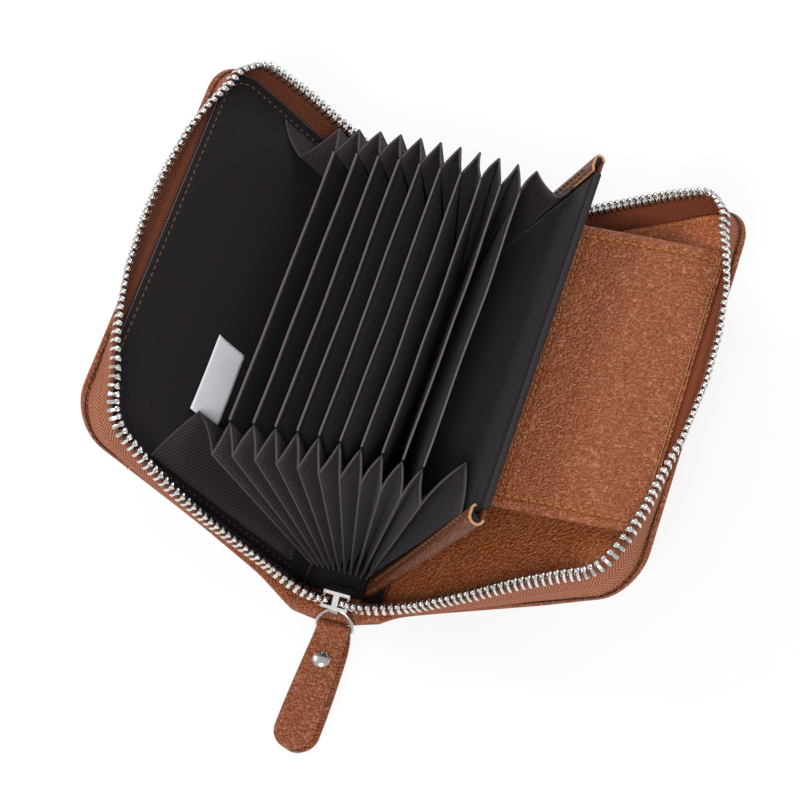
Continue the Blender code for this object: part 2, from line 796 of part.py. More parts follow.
def gusset_folds(sign):
    """Fold lines of one gusset from the left cover to the end divider.

    Each is its foot, its top and whether it is a folded edge or a sewn one.
    """
    inner = DIVIDER_LENGTH / 2 + SEAT + GUSSET / 2
    tip = inner + GUSSET_TIP_REACH
    deep = DIVIDER_LENGTH / 2 + (-NEAR_FOLD_INSIDE if sign < 0 else FAR_FOLD_OUTSIDE)
    sewn = inner + GUSSET_SEWN_REACH
    top = DIVIDER_DEPTH - GUSSET_DROP
    tip_top = DIVIDER_DEPTH - GUSSET_TIP_DROP
    lift = FOLD_RADIUS + SEAT + GUSSET
    side_near = LEFT.near * -sign

    def on_left(width, reach, height):
        return LEFT.world((width, side_near * reach, height))

    def on_end(local_x, y, height):
        turn = Matrix.Rotation(END_LEAN, 3, "Y")
        return turn @ Vector((local_x, y, height)) + Vector((END_DIVIDER_ROOT, 0, ROOT_HEIGHT))

    left_root = divider_root(0) - DIVIDER_ROOT_PITCH / 2
    side_lean = FIRST_LEAN - GUSSET_SIDE_LEAN
    folds = [
        (
            on_left(GUSSET_SEWN_START, sewn, lift),
            on_left(GUSSET_SEWN_END, sewn, lift),
            False,
        ),
        (
            on_left(GUSSET_SEWN_START, deep, lift + GUSSET),
            on_left(GUSSET_LEFT_FOLD_WIDTH, deep, GUSSET_LEFT_FOLD_LIFT),
            True,
        ),
        (
            fan_point(left_root, side_lean, GUSSET_FOOT, sign * tip),
            fan_point(left_root, side_lean, tip_top, sign * tip),
            True,
        ),
    ]
    for index in range(DIVIDER_COUNT):
        root, lean = divider_root(index), divider_lean(index)
        folds.append(
            (
                fan_point(root, lean, GUSSET_FOOT, sign * inner),
                fan_point(root, lean, top, sign * inner),
                True,
            )
        )
        if index < DIVIDER_COUNT - 1:
            between = (root + divider_root(index + 1)) / 2
            half_way = (lean + divider_lean(index + 1)) / 2
        else:
            between = root + DIVIDER_ROOT_PITCH / 2
            half_way = lean + GUSSET_SIDE_LEAN
        folds.append(
            (
                fan_point(between, half_way, GUSSET_FOOT, sign * tip),
                fan_point(between, half_way, tip_top, sign * tip),
                True,
            )
        )
    face = -END_THICKNESS / 2 - SEAT - GUSSET
    end_reach = END_LENGTH / 2 - END_HEM_WIDTH - GUSSET_END_TUCK
    folds.append(
        (
            on_end(face, sign * deep, GUSSET_WIDE_FOOT),
            on_end(face - GUSSET_RIGHT_FOLD_LIFT, sign * deep, tip_top),
            True,
        )
    )
    folds.append(
        (
            on_end(face, sign * end_reach, GUSSET_WIDE_FOOT),
            on_end(face, sign * end_reach, top),
            False,
        )
    )
    return folds


def offset_line(points, shift):
    """Points moved sideways in plan, with mitred corners."""
    moved = []
    for i, point in enumerate(points):
        before = points[max(0, i - 1)]
        after = points[min(len(points) - 1, i + 1)]
        sides = []
        for a, b in ((before, point), (point, after)):
            run = Vector((b.x - a.x, b.y - a.y, 0))
            if run.length > 0:
                run.normalize()
                sides.append(Vector((-run.y, run.x, 0)))
        mean = sides[0] + sides[-1]
        mean.normalize()
        moved.append(point + mean * shift / max(0.35, mean.dot(sides[0])))
    return moved


def make_gusset(name, sign):
    """One continuous pleated strip with a wider extra fold at each side."""
    half_fold = GUSSET_FOLD_WIDTH / 2
    feet, tops = [], []
    for foot, top, folded in gusset_folds(sign):
        if folded:
            aside = Vector((half_fold, 0, 0))
            feet += [foot - aside, foot + aside]
            tops += [top - aside, top + aside]
        else:
            feet.append(foot)
            tops.append(top)
    half = GUSSET / 2
    lines = [offset_line(feet, half), offset_line(feet, -half)]
    lines += [offset_line(tops, -half), offset_line(tops, half)]
    rings = [list(ring) for ring in zip(*lines)]
    fabric = material(name, DARK_FABRIC, 0.75)
    loft(name, rings, SPINE_FRAME, fabric)


def make_slip_pocket():
    """Leather panel hinged at its seam on the long edge, leaning on the end divider."""
    seam = Vector((COVER_WIDTH - PANEL_SEAM_INSET, 0, PANEL_SEAM_HEIGHT))
    turn = Matrix.Rotation(PANEL_LIFT, 3, "Y")
    axis = frame("slip_pocket_axis", seam, turn, RIGHT_FRAME)
    half, side = PANEL / 2, PANEL_LENGTH / 2
    bm = box_mesh((-PANEL_WIDTH, -side, -half), (half, side, half))
    round_upright_edges(bm, PANEL_CORNER, lambda p: p.x < -half, 3)
    bm.normal_update()
    round_rims(bm, PANEL_EDGE_ROUND, 1)
    mesh_object("slip_pocket", bm, axis, material("slip_pocket", TAN_LEATHER, 0.5))


def make_label():
    """Bare label laid on the left lining."""
    low = FOLD_RADIUS + SEAT / 2
    middle = LEFT.near * (COVER_LENGTH / 2 - LABEL_FROM_NEAR_EDGE)
    bm = box_mesh(
        (LABEL_FROM_FOLD - LABEL_WIDTH / 2, middle - LABEL_LENGTH / 2, low),
        (LABEL_FROM_FOLD + LABEL_WIDTH / 2, middle + LABEL_LENGTH / 2, low + LABEL),
    )
    mesh_object("label", bm, LEFT_FRAME, material("label", (0.8, 0.8, 0.8), 0.8))


SLIDER_FRAME = frame("slider_track", SLIDER_ORIGIN, SLIDER_TURN, SPINE_FRAME)
BRIDGE_Y = -(SLIDER_CHANNEL / 2 + SLIDER_PLATE + BRIDGE_HOLE_RADIUS - BRIDGE_SINK / 2)


def slider_plate(name, low_y, group, finish):
    """One plate of the slider, narrower at the foot, in the frame of the slider."""
    half, foot = SLIDER_WIDTH / 2, SLIDER_FOOT_WIDTH / 2
    waist = SLIDER_LENGTH / 2
    outline = [(-foot, 0), (foot, 0), (half, waist), (half, SLIDER_LENGTH)]
    outline += [(-half, SLIDER_LENGTH), (-half, waist)]
    plate = prism(
        name,
        outline,
        SLIDER_PLATE,
        SLIDER_FRAME,
        finish,
        rotation=ALONG_SPINE,
        location=(0, low_y + SLIDER_PLATE / 2, 0),
        group=group,
    )
    return as_mesh(plate)


def make_slider():
    """Two plates joined by the post at the mouth, side lips, and the bridge in front."""
    metal = material("slider", NICKEL, 0.25, 1.0)
    front = -SLIDER_CHANNEL / 2 - SLIDER_PLATE
    back = SLIDER_CHANNEL / 2
    body = slider_plate("slider", front, PARTS, metal)
    if not body.data.materials:
        body.data.materials.append(metal)
    boolean(body, cutter(slider_plate("slider_back", back, CUTTERS, None)), "UNION")
    sink = SLIDER_PLATE / 2
    post_half = SLIDER_POST_WIDTH / 2
    solids = [
        (
            "slider_post",
            (-post_half, -back - sink, SLIDER_LENGTH - SLIDER_POST_LENGTH),
            (post_half, back + sink, SLIDER_LENGTH - SLIDER_ROUND),
        )
    ]
    half = SLIDER_WIDTH / 2
    waist = SLIDER_LENGTH / 2
    for name, left in (("left", -half), ("right", half - SLIDER_LIP)):
        solids.append(
            (
                "slider_front_lip_" + name,
                (left, -back - sink, waist),
                (left + SLIDER_LIP, -back + SLIDER_LIP_HEIGHT, SLIDER_LENGTH - SLIDER_ROUND),
            )
        )
        solids.append(
            (
                "slider_back_lip_" + name,
                (left, back - SLIDER_LIP_HEIGHT, waist),
                (left + SLIDER_LIP, back + sink, SLIDER_LENGTH - SLIDER_ROUND),
            )
        )
    for name, low, high in solids:
        tool = mesh_object(name, box_mesh(low, high), SLIDER_FRAME, None, group=CUTTERS)
        boolean(body, cutter(tool), "UNION")
    outline = []
    root = -back - SLIDER_PLATE + BRIDGE_SINK
    for radius, order in ((BRIDGE_HOLE_RADIUS + BRIDGE_BAR, 1), (BRIDGE_HOLE_RADIUS, -1)):
        arc = []
        for i in range(BRIDGE_ARC_POINTS):
            angle = math.pi / 2 + math.pi * i / (BRIDGE_ARC_POINTS - 1)
            y = BRIDGE_Y + radius * math.cos(angle)
            arc.append((y, BRIDGE_RISE + radius * math.sin(angle)))
        ends = [(root, BRIDGE_RISE + radius)] + arc + [(root, BRIDGE_RISE - radius)]
        outline += ends[::order]
    bridge = prism(
        "slider_bridge",
        outline,
        BRIDGE_WIDTH,
        SLIDER_FRAME,
        None,
        rotation=(math.pi / 2, 0, math.pi / 2),
        group=CUTTERS,
    )
    boolean(body, cutter(as_mesh(bridge)), "UNION")


# The ring hangs in the bridge and its lower wire carries the strap
RING_TOP = Vector((RING_SHIFT, BRIDGE_Y, BRIDGE_RISE))
LOOP_RADIUS = RING_WIRE + STRAP_LOOP_CLEARANCE + STRAP / 2
STRAP_LIFT = STRAP + STRAP_LAYER_GAP / 2 + STRAP_FLOOR_GAP
LOOP_HEIGHT = LOOP_RADIUS + STRAP / 2 + 2 * STRAP_FLOOR_GAP
RING_DEPTH = RING_HALF_WIDTH + RING_CORNER
RING_DROP = (SLIDER_TURN @ RING_TOP + SLIDER_ORIGIN).z - LOOP_HEIGHT
RING_SWING = math.acos(max(-1.0, min(1.0, RING_DROP / RING_DEPTH)))
RING_FRAME = frame(
    "ring_axis",
    RING_TOP,
    Matrix.Rotation(-SLIDER_TILT - RING_SWING, 3, "X"),
    SLIDER_FRAME,
)


def ring_line():
    """Centre of the wire and its outward direction: an arch on a straight bar."""
    line = []
    bar = RING_HALF_WIDTH - RING_CORNER
    for i in range(RING_ARC_SEGMENTS):
        turn = math.pi * (i / (RING_ARC_SEGMENTS - 1) - 0.5)
        out = Vector((math.sin(turn), 0, math.cos(turn)))
        line.append((out * RING_HALF_WIDTH - Vector((0, 0, RING_HALF_WIDTH)), out))
    for side, first in ((1, 1), (-1, RING_CORNER_SEGMENTS)):
        for i in range(RING_CORNER_SEGMENTS):
            turn = math.pi / 2 * (1 + (i + first) / RING_CORNER_SEGMENTS)
            out = Vector((math.sin(turn), 0, math.cos(turn)))
            centre = Vector((side * bar, 0, -RING_HALF_WIDTH))
            line.append((centre + out * RING_CORNER, out))
    return line


def make_ring():
    """D-shaped ring through the bridge; its plane holds the x axis of the joint."""
    bm = bmesh.new()
    line = ring_line()
    for centre, out in line:
        for j in range(RING_WIRE_SEGMENTS):
            around = 2 * math.pi * (j + 0.5) / RING_WIRE_SEGMENTS
            spot = centre + out * (RING_WIRE * math.cos(around))
            spot += Vector((0, RING_WIRE * math.sin(around), 0))
            bm.verts.new(spot)
    bm.verts.ensure_lookup_table()
    for i in range(len(line)):
        for j in range(RING_WIRE_SEGMENTS):
            a = i * RING_WIRE_SEGMENTS
            b = (i + 1) % len(line) * RING_WIRE_SEGMENTS
            k = (j + 1) % RING_WIRE_SEGMENTS
            bm.faces.new((bm.verts[a + j], bm.verts[b + j], bm.verts[b + k], bm.verts[a + k]))
    mesh_object("pull_ring", bm, RING_FRAME, material("pull_ring", NICKEL, 0.25, 1.0))


STRAP_AXIS = Vector((0, 0, -RING_DEPTH))
STRAP_FALL = math.asin((LOOP_HEIGHT - STRAP_LIFT) / STRAP_LENGTH)
STRAP_FRAME = frame(
    "strap_axis",
    STRAP_AXIS,
    Matrix.Rotation(RING_SWING, 3, "X") @ Matrix.Rotation(STRAP_FALL, 3, "X"),
    RING_FRAME,
)


def strap_half_width(distance):
    """Narrow at the ring, full width past the shoulder, round at the tip."""
    full, narrow = STRAP_WIDTH / 2, STRAP_LOOP_WIDTH / 2
    if distance <= STRAP_NECK:
        return narrow
    if distance < STRAP_SHOULDER:
        t = (distance - STRAP_NECK) / (STRAP_SHOULDER - STRAP_NECK)
        return narrow + (full - narrow) * math.sin(t * math.pi / 2)
    past = distance - (STRAP_LENGTH - full)
    if past <= 0:
        return full
    return max(full * STRAP_TIP_SHARE, math.sqrt(max(0.0, full * full - past * past)))


def strap_layer():
    """Distances from the ring and heights over the middle, tip first, for one layer."""
    layer = (STRAP + STRAP_LAYER_GAP) / 2
    full = STRAP_WIDTH / 2
    line = []
    for i in range(STRAP_TIP_RINGS + 1):
        angle = math.pi / 2 * (1 - i / STRAP_TIP_RINGS)
        line.append((STRAP_LENGTH - full + full * math.sin(angle), layer))
    line.append(((STRAP_LENGTH - full + STRAP_SHOULDER) / 2, layer))
    for i in range(3):
        share = i / 2
        line.append((STRAP_SHOULDER + (STRAP_CLOSE - STRAP_SHOULDER) * share, layer))
    line.append(((STRAP_CLOSE + LOOP_RADIUS) / 2, (layer + LOOP_RADIUS) / 2))
    return line


def make_strap():
    """One strip of leather folded round the ring and riveted to itself."""
    upper = strap_layer()
    leave = math.radians(62.0)
    loop = []
    for i in range(STRAP_LOOP_ARC_POINTS):
        angle = leave + (2 * math.pi - 2 * leave) * i / (STRAP_LOOP_ARC_POINTS - 1)
        loop.append((LOOP_RADIUS * math.cos(angle), LOOP_RADIUS * math.sin(angle)))
    lower = [(d, -h) for d, h in reversed(upper)]
    line = upper + loop + lower
    rings = []
    for i, (d, h) in enumerate(line):
        before = line[max(0, i - 1)]
        after = line[min(len(line) - 1, i + 1)]
        run = Vector((after[0] - before[0], after[1] - before[1])).normalized()
        side = Vector((-run.y, run.x)) * STRAP / 2
        half = strap_half_width(max(0.0, d))
        drift = -STRAP_YAW_SHARE * d
        if h < 0:
            drift += STRAP_BACK_TURN_SHARE * max(0.0, d)
        ring = []
        for across, way in ((-half, 1), (half, 1), (half, -1), (-half, -1)):
            ring.append(Vector((across + drift, -(d + way * side.x), h + way * side.y)))
        rings.append(ring)
    leather = material("pull_strap", TAN_LEATHER, 0.5)
    strap = loft("pull_strap", rings, STRAP_FRAME, leather)
    drill = bmesh.new()
    bmesh.ops.create_cone(
        drill,
        cap_ends=True,
        segments=RIVET_STEPS,
        radius1=RIVET_SHANK + SEAT / 2,
        radius2=RIVET_SHANK + SEAT / 2,
        depth=2 * (STRAP + STRAP_LAYER_GAP) + CUT_OVERRUN,
    )
    spot = (-STRAP_YAW_SHARE * RIVET_FROM_RING, -RIVET_FROM_RING, 0)
    tool = mesh_object("rivet_hole", drill, STRAP_FRAME, None, location=spot, group=CUTTERS)
    boolean(strap, cutter(tool), "DIFFERENCE")

    outside = STRAP + STRAP_LAYER_GAP / 2 + SEAT / 2
    profile = [(0.0, outside + RIVET_DOME)]
    for share in (0.35, 0.7, 0.9, 1.0):
        profile.append((RIVET_HEAD * share, outside + RIVET_DOME * math.sqrt(1 - share * share)))
    profile += [
        (RIVET_SHANK, outside),
        (RIVET_SHANK, -outside),
        (RIVET_HEAD, -outside),
        (RIVET_HEAD - RIVET_BACK, -outside - RIVET_BACK),
        (0.0, -outside - RIVET_BACK),
    ]
    bm = bmesh.new()
    verts = [bm.verts.new((x, 0, z)) for x, z in profile]
    for a, b in zip(verts, verts[1:]):
        bm.edges.new((a, b))
    mesh = bpy.data.meshes.new("rivet")
    bm.to_mesh(mesh)
    bm.free()
    rivet = place(
        bpy.data.objects.new("rivet", mesh),
        STRAP_FRAME,
        material("rivet", NICKEL, 0.3, 1.0),
        location=spot,
    )
    turned = rivet.modifiers.new("turned", "SCREW")
    turned.axis = "Z"
    turned.steps = RIVET_STEPS
    turned.render_steps = RIVET_STEPS
    turned.use_merge_vertices = True
    turned.merge_threshold = MERGE


def make_bottom_stop():
    """Metal block that holds the two rows together at the far end of the spine."""
    bm = box_mesh(
        (-STOP_WIDTH / 2, STOP_Y - STOP_DEPTH / 2, STOP_BASE),
        (STOP_WIDTH / 2, STOP_Y + STOP_DEPTH / 2, STOP_BASE + STOP_HEIGHT),
    )
    round_upright_edges(bm, STOP_ROUND, lambda p: True, 2)
    mesh_object("bottom_stop", bm, SPINE_FRAME, material("bottom_stop", NICKEL, 0.3, 1.0))


def build():
    make_spine()
    make_cover(LEFT, DARK_FABRIC)
    make_cover(RIGHT, TAN_LEATHER)
    for side in (LEFT, RIGHT):
        run = make_zip_side(side)
        for end in ("near", "far"):
            make_zip_end(side, run, end)
    make_dividers()
    make_end_divider()
    make_gusset("near_gusset", -1)
    make_gusset("far_gusset", 1)
    make_slip_pocket()
    make_label()
    make_slider()
    make_ring()
    make_strap()
    make_bottom_stop()


build()
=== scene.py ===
"""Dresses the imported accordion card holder: leather, lining, zip, pleats, stage and camera.

Lengths are metres in the model's own frame: Y along the spine, X across it, Z up.
"""

import math
import random

import bmesh
import bpy
from bpy.props import FloatProperty, FloatVectorProperty, PointerProperty
from mathutils import Matrix, Vector, noise


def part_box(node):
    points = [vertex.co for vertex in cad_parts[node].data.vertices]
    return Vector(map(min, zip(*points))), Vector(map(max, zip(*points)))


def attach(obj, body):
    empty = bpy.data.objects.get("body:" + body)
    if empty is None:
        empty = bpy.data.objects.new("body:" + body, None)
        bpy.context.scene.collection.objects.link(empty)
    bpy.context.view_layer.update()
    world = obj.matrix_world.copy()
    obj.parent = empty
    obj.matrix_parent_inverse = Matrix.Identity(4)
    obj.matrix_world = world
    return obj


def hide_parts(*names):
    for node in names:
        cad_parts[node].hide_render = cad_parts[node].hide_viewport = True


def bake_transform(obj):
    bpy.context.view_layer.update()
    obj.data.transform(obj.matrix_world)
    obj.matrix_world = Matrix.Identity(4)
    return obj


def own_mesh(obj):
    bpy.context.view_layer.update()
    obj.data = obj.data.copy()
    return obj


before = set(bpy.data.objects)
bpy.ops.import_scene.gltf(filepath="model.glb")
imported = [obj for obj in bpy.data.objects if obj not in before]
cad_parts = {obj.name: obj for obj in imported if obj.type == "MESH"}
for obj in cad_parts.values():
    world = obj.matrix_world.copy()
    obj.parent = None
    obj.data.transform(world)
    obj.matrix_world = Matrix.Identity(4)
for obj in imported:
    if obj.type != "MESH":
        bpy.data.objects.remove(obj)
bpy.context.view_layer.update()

bl_info = {
    "name": "Accordion Card Holder",
    "version": (1, 0, 0),
    "blender": (4, 5, 0),
    "location": "View3D > Sidebar > Card Holder",
    "description": "Builds the leather, lining, zip and pleats of an accordion card holder",
    "category": "Object",
}

MM = 0.001
UV_MAP = "cloth"
SMOOTH_ANGLE = math.radians(40.0)
MERGE_DISTANCE = 0.002 * MM
WAVE_SEED_STEP = 7.31

# Covers and spine, as the model has them
COVER_LENGTH = 110.0 * MM
COVER_WIDTH = 79.0 * MM
CORNER_RADIUS = 11.5 * MM
SPINE_SPAN = 21.0 * MM
FOLD_RADIUS = 1.2 * MM
LEATHER = 1.1 * MM
RISE = {"left": math.radians(49.0), "right": math.radians(39.0)}
RIM_LEAST_RADIUS = 1.0 * MM
RIM_STEPS = (14, 10, 20, 10, 14)
RIM_TRIM_STEP = 1.5 * MM

# Hide: its rim as inset and height, and its swelling near edge as run and swell, in millimetres
HIDE_PROFILE = (
    (9.0, -0.04), (7.6, -0.03), (6.2, -0.02), (4.8, -0.01), (3.6, 0.0), (2.4, 0.03),
    (1.5, 0.04), (0.85, -0.04), (0.38, -0.22), (0.08, -0.48), (0.0, -0.74), (0.14, -0.98),
    (0.5, -1.13), (1.2, -1.18), (2.6, -1.19), (5.0, -1.19),
)
EDGE_SWELL = (
    (-98.0, -1.0), (-84.0, -0.9), (-62.0, -0.5), (-50.0, -0.25), (-41.0, 0.1), (-36.0, 0.45),
    (-30.0, 0.8), (-25.0, 1.1), (-21.0, 1.7), (-17.0, 2.6), (-13.0, 3.4), (-10.5, 3.7),
    (-8.0, 4.0), (-5.0, 4.5), (-1.0, 4.7), (3.0, 4.1), (6.5, 2.7), (10.5, 1.3), (14.0, 0.2),
    (18.0, -0.35), (30.0, -0.5), (62.0, -0.5), (76.0, -0.9), (98.0, -1.2),
)
SWELL_SMOOTHING = (-3.0, -2.0, -1.0, 0.0, 1.0, 2.0, 3.0)
FAR_SWELL_SHARE = 0.6
SWELL_LIFT = 0.25 * MM
SWELL_REACH = 9.0
SWELL_POWER = 0.7
HIDE_MIDDLE = 0.6 * MM
HIDE_START = 15.0 * MM
FOLD_WINDOW = 2.5 * MM
TACK_RUN = 59.0 * MM
TACK_INSETS = (-0.12, 0.0, 0.15, 0.8, 1.6, 1.9)
TACK_HEIGHTS = (-1.0, -0.6, -0.2, 0.14, 0.14, -0.1)
TACK_RADIUS = 0.2 * MM

# Linings and label
LINING_EDGE_INSET = 2.6 * MM
LINING_START = 0.6 * MM
LINING_HEIGHT = 1.05 * MM
LINING_CLOTH = {"left": 0.35 * MM, "right": 0.4 * MM}
LINING_FINE_BAND = 9.0 * MM
LINING_ROW_POWER = 0.85
SEAM_INSET = {"left": 4.5 * MM, "right": 4.1 * MM}
SEAM_THREAD = {"left": 0.36 * MM, "right": 0.5 * MM}
SEAM_START = 4.0 * MM
SEAM_OVER = 0.1 * MM
LIP_HEIGHT = 0.3 * MM
LIP_SPREAD = 0.7 * MM
SEAM_GROOVE = 0.2 * MM
SEAM_GROOVE_SPREAD = 0.4 * MM
CUSHION_BAND = 8.0 * MM
CUSHION_HEIGHT = 0.16 * MM
LABEL_PLACE = (41.4 * MM, -33.0 * MM)
LABEL_WIDTH = 9.6 * MM
LABEL_LENGTH = 21.0 * MM
LABEL_CLOTH = 0.14 * MM
LABEL_OVER = 0.5 * MM
LABEL_CURL = 0.5 * MM
LABEL_WAVE = 0.2 * MM
LABEL_WAVE_LENGTH = 6.0 * MM
BINDING_PROFILE = (
    (2.5, 0.85), (2.5, 1.32), (2.7, 1.66), (3.2, 1.86), (3.7, 1.8), (4.0, 1.55), (4.1, 1.2),
    (4.1, 0.9),
)
BINDING_START = 5.0 * MM
BINDING_RIPPLE_FROM = 1.3
BINDING_LINE_INSET = 2.55 * MM
BINDING_LINE_HEIGHT = 1.5 * MM
BINDING_LINE_RADIUS = 0.17 * MM
SPINE_CLOTH_GROWTH = Vector((0.9, 2.0, 0)) * MM
CLOTH = 0.4 * MM

# Zip; the lean of the tape is given in quarter turns along the rim
TAPE_INSET = 2.0 * MM
TAPE = 0.5 * MM
TAPE_WALL = 6.2 * MM
TAPE_FOOT = 4.0 * MM
TAPE_FOOT_LIFT = 0.15 * MM
TAPE_RUN_START = 18.0 * MM
TAPE_ROOT_HEIGHT = 0.3 * MM
TAPE_BOW = 3.3 * MM
TAPE_BOW_POWER = 0.7
TAPE_STEP = 1.4 * MM
BEAD_STEP = 1.6 * MM
TAPE_LEAN_SHARES = (
    (0.0, 0.31), (0.09, 0.29), (0.19, 0.16), (0.25, 0.02), (0.285, -0.03), (0.32, 0.13),
    (0.35, 0.30), (0.39, 0.48), (0.43, 0.62), (0.50, 0.73), (0.56, 0.71), (0.62, 0.57),
    (0.66, 0.37), (0.695, 0.14), (0.73, 0.04), (0.77, 0.12), (0.82, 0.24), (1.0, 0.29),
)
LEAN_TRIM_SHARES = {
    "left": (
        (0.0, 0.0), (0.15, 0.02), (0.19, -0.03), (0.225, -0.11), (0.25, -0.14), (0.285, -0.14),
        (0.31, -0.08), (0.34, 0.0), (1.0, 0.0),
    ),
    "right": (
        (0.0, 0.0), (0.04, -0.06), (0.1, -0.16), (0.15, -0.22), (0.2, -0.23), (0.235, -0.17),
        (0.265, -0.07), (0.29, 0.04), (0.31, 0.11), (0.335, 0.1), (0.36, 0.04), (0.39, 0.0),
        (1.0, 0.0),
    ),
}
# Tints on the tape: the inside is darkened as painted shade, most on the left cover, and the outside
# is lightened as painted light
TAPE_INSIDE_PAINTED_SHADE = {"left": (0.58, 0.42, 0.34), "right": (0.82, 0.54, 0.4)}
TAPE_OUTSIDE_PAINTED_LIGHT = (1.22, 1.2, 1.2)
# The bead cord is tinted darker than the tape: painted shade between the teeth
BEAD_PAINTED_SHADE = (0.7, 0.62, 0.6)
BEAD_MIDDLE = 7.2 * MM
BEAD_OVER_TAPE = 0.25 * MM
BEAD_RADIUS = 0.48 * MM
STUB_BEAD_RADIUS = 0.45 * MM
# A dark cord along the hide's rim: painted shadow of the tape
SHADOW_LINE_OUT = 0.95 * MM
SHADOW_LINE_RADIUS = 0.17 * MM

# Teeth, in millimetres: sections as height, half width and half thickness
HEAD_HEIGHT = 8.15
HEAD_PROFILE = (
    (0.02, 0.34), (0.2, 0.34), (0.28, 0.58), (0.46, 0.68), (0.63, 0.6), (0.72, 0.4),
    (0.72, -0.4), (0.63, -0.6), (0.46, -0.68), (0.28, -0.58), (0.2, -0.34), (0.02, -0.34),
)
NECK_SECTIONS = ((6.7, 0.3, 0.5), (6.95, 0.36, 0.58), (7.4, 0.34, 0.46), (7.8, 0.36, 0.4))
LEG_SECTIONS = (
    (5.75, 0.26, 0.1), (5.86, 0.38, 0.2), (6.2, 0.46, 0.25), (6.9, 0.46, 0.26), (7.6, 0.34, 0.2),
)
LEG_OUT = 0.52
TOOTH_CORNER_SHARE = 0.42
TOOTH_LEAN = math.radians(13.0)
TOOTH_LEAN_SWING = math.radians(15.0)
TOOTH_TILT = 0.05
TRAVEL_REACH = 0.2 * MM

# Slider, bottom stop and the soft ends of the zip
SLIDER_LENGTH = 7.2 * MM
SLIDER_SIDE = 3.9 * MM
SLIDER_POINT = Vector((0.4, -53.4, 4.5)) * MM
SLIDER_TURN = Matrix.Rotation(math.radians(36.0), 3, "X")
STOP_POINT = Vector((0.4, 57.3, 3.5)) * MM
STOP_HEIGHT = 3.0 * MM
MOUTH_GAP = 0.3 * MM
MOUTH_HALF_SPACING = 2.2 * MM
MOUTH_SPREAD_SHARE = 0.8
STUB_START_SHARE = 0.22
STUB_ROOT_HEIGHT = LEATHER + 0.35 * MM
STUB_PITCH = 1.75 * MM
STUB_LEAN_SHARE = 0.25
STUB_LEAN_RUN = 1.6
STUB_LEAST_TEETH = 3
STUB_AHEAD_SHARE = 0.01
STUB_BEND_BEFORE = 3.0 * MM
STUB_BEND_AFTER = 14.0 * MM
SLIDER_BEVEL = 0.34 * MM
STOP_BEVEL = 0.2 * MM

# Accordion
DIVIDER_COUNT = 10
DIVIDER_LENGTH = 77.4 * MM
DIVIDER_DEPTH = 54.2 * MM
DIVIDER_ROOT_PITCH = 1.3 * MM
DIVIDER_CLOTH_FOOT = 0.2 * MM
DIVIDER_CLOTH_HEAD = 0.5 * MM
DIVIDER_BOW = 0.18 * MM
HEM_DROP = 0.45 * MM
HEM_HALF_THICKNESS = 0.27 * MM
HEM_HALF_HEIGHT = 0.45 * MM
END_ROOT = 5.6 * MM
END_SPACING = 1.9 * MM
FIRST_LEAN = math.radians(-23.6)
LAST_LEAN = math.radians(15.0)
FAN_POWER_SHARE = 0.9
ROOT_HEIGHT = 2.95 * MM

# Pleats, with their bulges in millimetres
PLEAT_INNER = 39.2 * MM
PLEAT_TIP = 47.2 * MM
PLEAT_FOOT = 1.2 * MM
PLEAT_TOP = 53.2 * MM
PLEAT_TIP_TOP = 51.8 * MM
PLEAT_SEWN = 49.3 * MM
PLEAT_CLOTH = 0.28 * MM
PLEAT_TWILL = 0.8 * MM
PLEAT_EDGE_RADIUS = 0.3 * MM
PLEAT_BULGES = ((-0.25, 0.45), (-0.45, 0.25))
OUTER_FOLD_LEAN = math.radians(2.0)
DEEP_FOLD = {"near": 33.0 * MM, "far": 42.5 * MM}
LEFT_FOLD_BULGES = (0.9, 0.8)
LEFT_FOLD_START = 7.0 * MM
LEFT_FOLD_SEWN_END = 56.0 * MM
LEFT_FOLD_INNER_END = 49.0 * MM
LEFT_FOLD_HEIGHT = FOLD_RADIUS + 0.55 * MM
LEFT_FOLD_INNER_LIFT = 0.35 * MM
LEFT_FOLD_INNER_RISE = 3.4 * MM
RIGHT_FOLD_BULGES = (0.6, 0.5)
RIGHT_FOLD_START = 7.0 * MM
RIGHT_FOLD_OFF_WALL = 0.65 * MM
RIGHT_FOLD_DEPTH = 2.4 * MM
RIGHT_FOLD_HEM_GAP = 0.5 * MM

# Leather end divider
END_LEAN = math.radians(27.4)
END_DEPTH = 63.3 * MM
END_LENGTH = 103.0 * MM
END_THICKNESS = 1.8 * MM
END_SKIN = 0.62 * MM
END_OUTER = (END_THICKNESS - END_SKIN) / 2
END_HEM_WIDTH = 4.4 * MM
END_TURNED = END_LENGTH / 2 - END_HEM_WIDTH
END_FACE_INSET = 3.4 * MM
END_TOP_GAP = 0.3 * MM
HEM_OPENING = {-1: 1.15 * MM, 1: 0.55 * MM}
HEM_DIP = 0.5 * MM
HEM_OPENING_POWER = 1.3
HEM_FLAT_SHARES = (0.3, 0.6)
RAW_EDGE_RADIUS = 0.3 * MM
RAW_TOP_RADIUS = 0.33 * MM
RAW_TOP_DROP = 0.15 * MM
# Sections of the cloth in a hem, as height and share of the hem
HEM_FILL_SHARES = ((0.55 * END_DEPTH, 0.7), (END_DEPTH - 0.7 * MM, 0.85), (END_DEPTH, 0.55))
END_CLOTH_GAP = 0.3 * MM
END_CLOTH_FOOT = 0.4 * MM
END_CLOTH_HEAD = 0.7 * MM
END_CLOTH_IN = 0.35 * MM
END_EDGE_OFFSET = 0.1 * MM
END_EDGE_RISE = 0.5 * MM
END_EDGE_ROLL = {True: 0.95 * MM, False: 0.75 * MM}
END_STITCH_FOOT = 6.0 * MM
END_STITCH_HEAD = 4.0 * MM
END_STITCH_OVER = 0.03 * MM

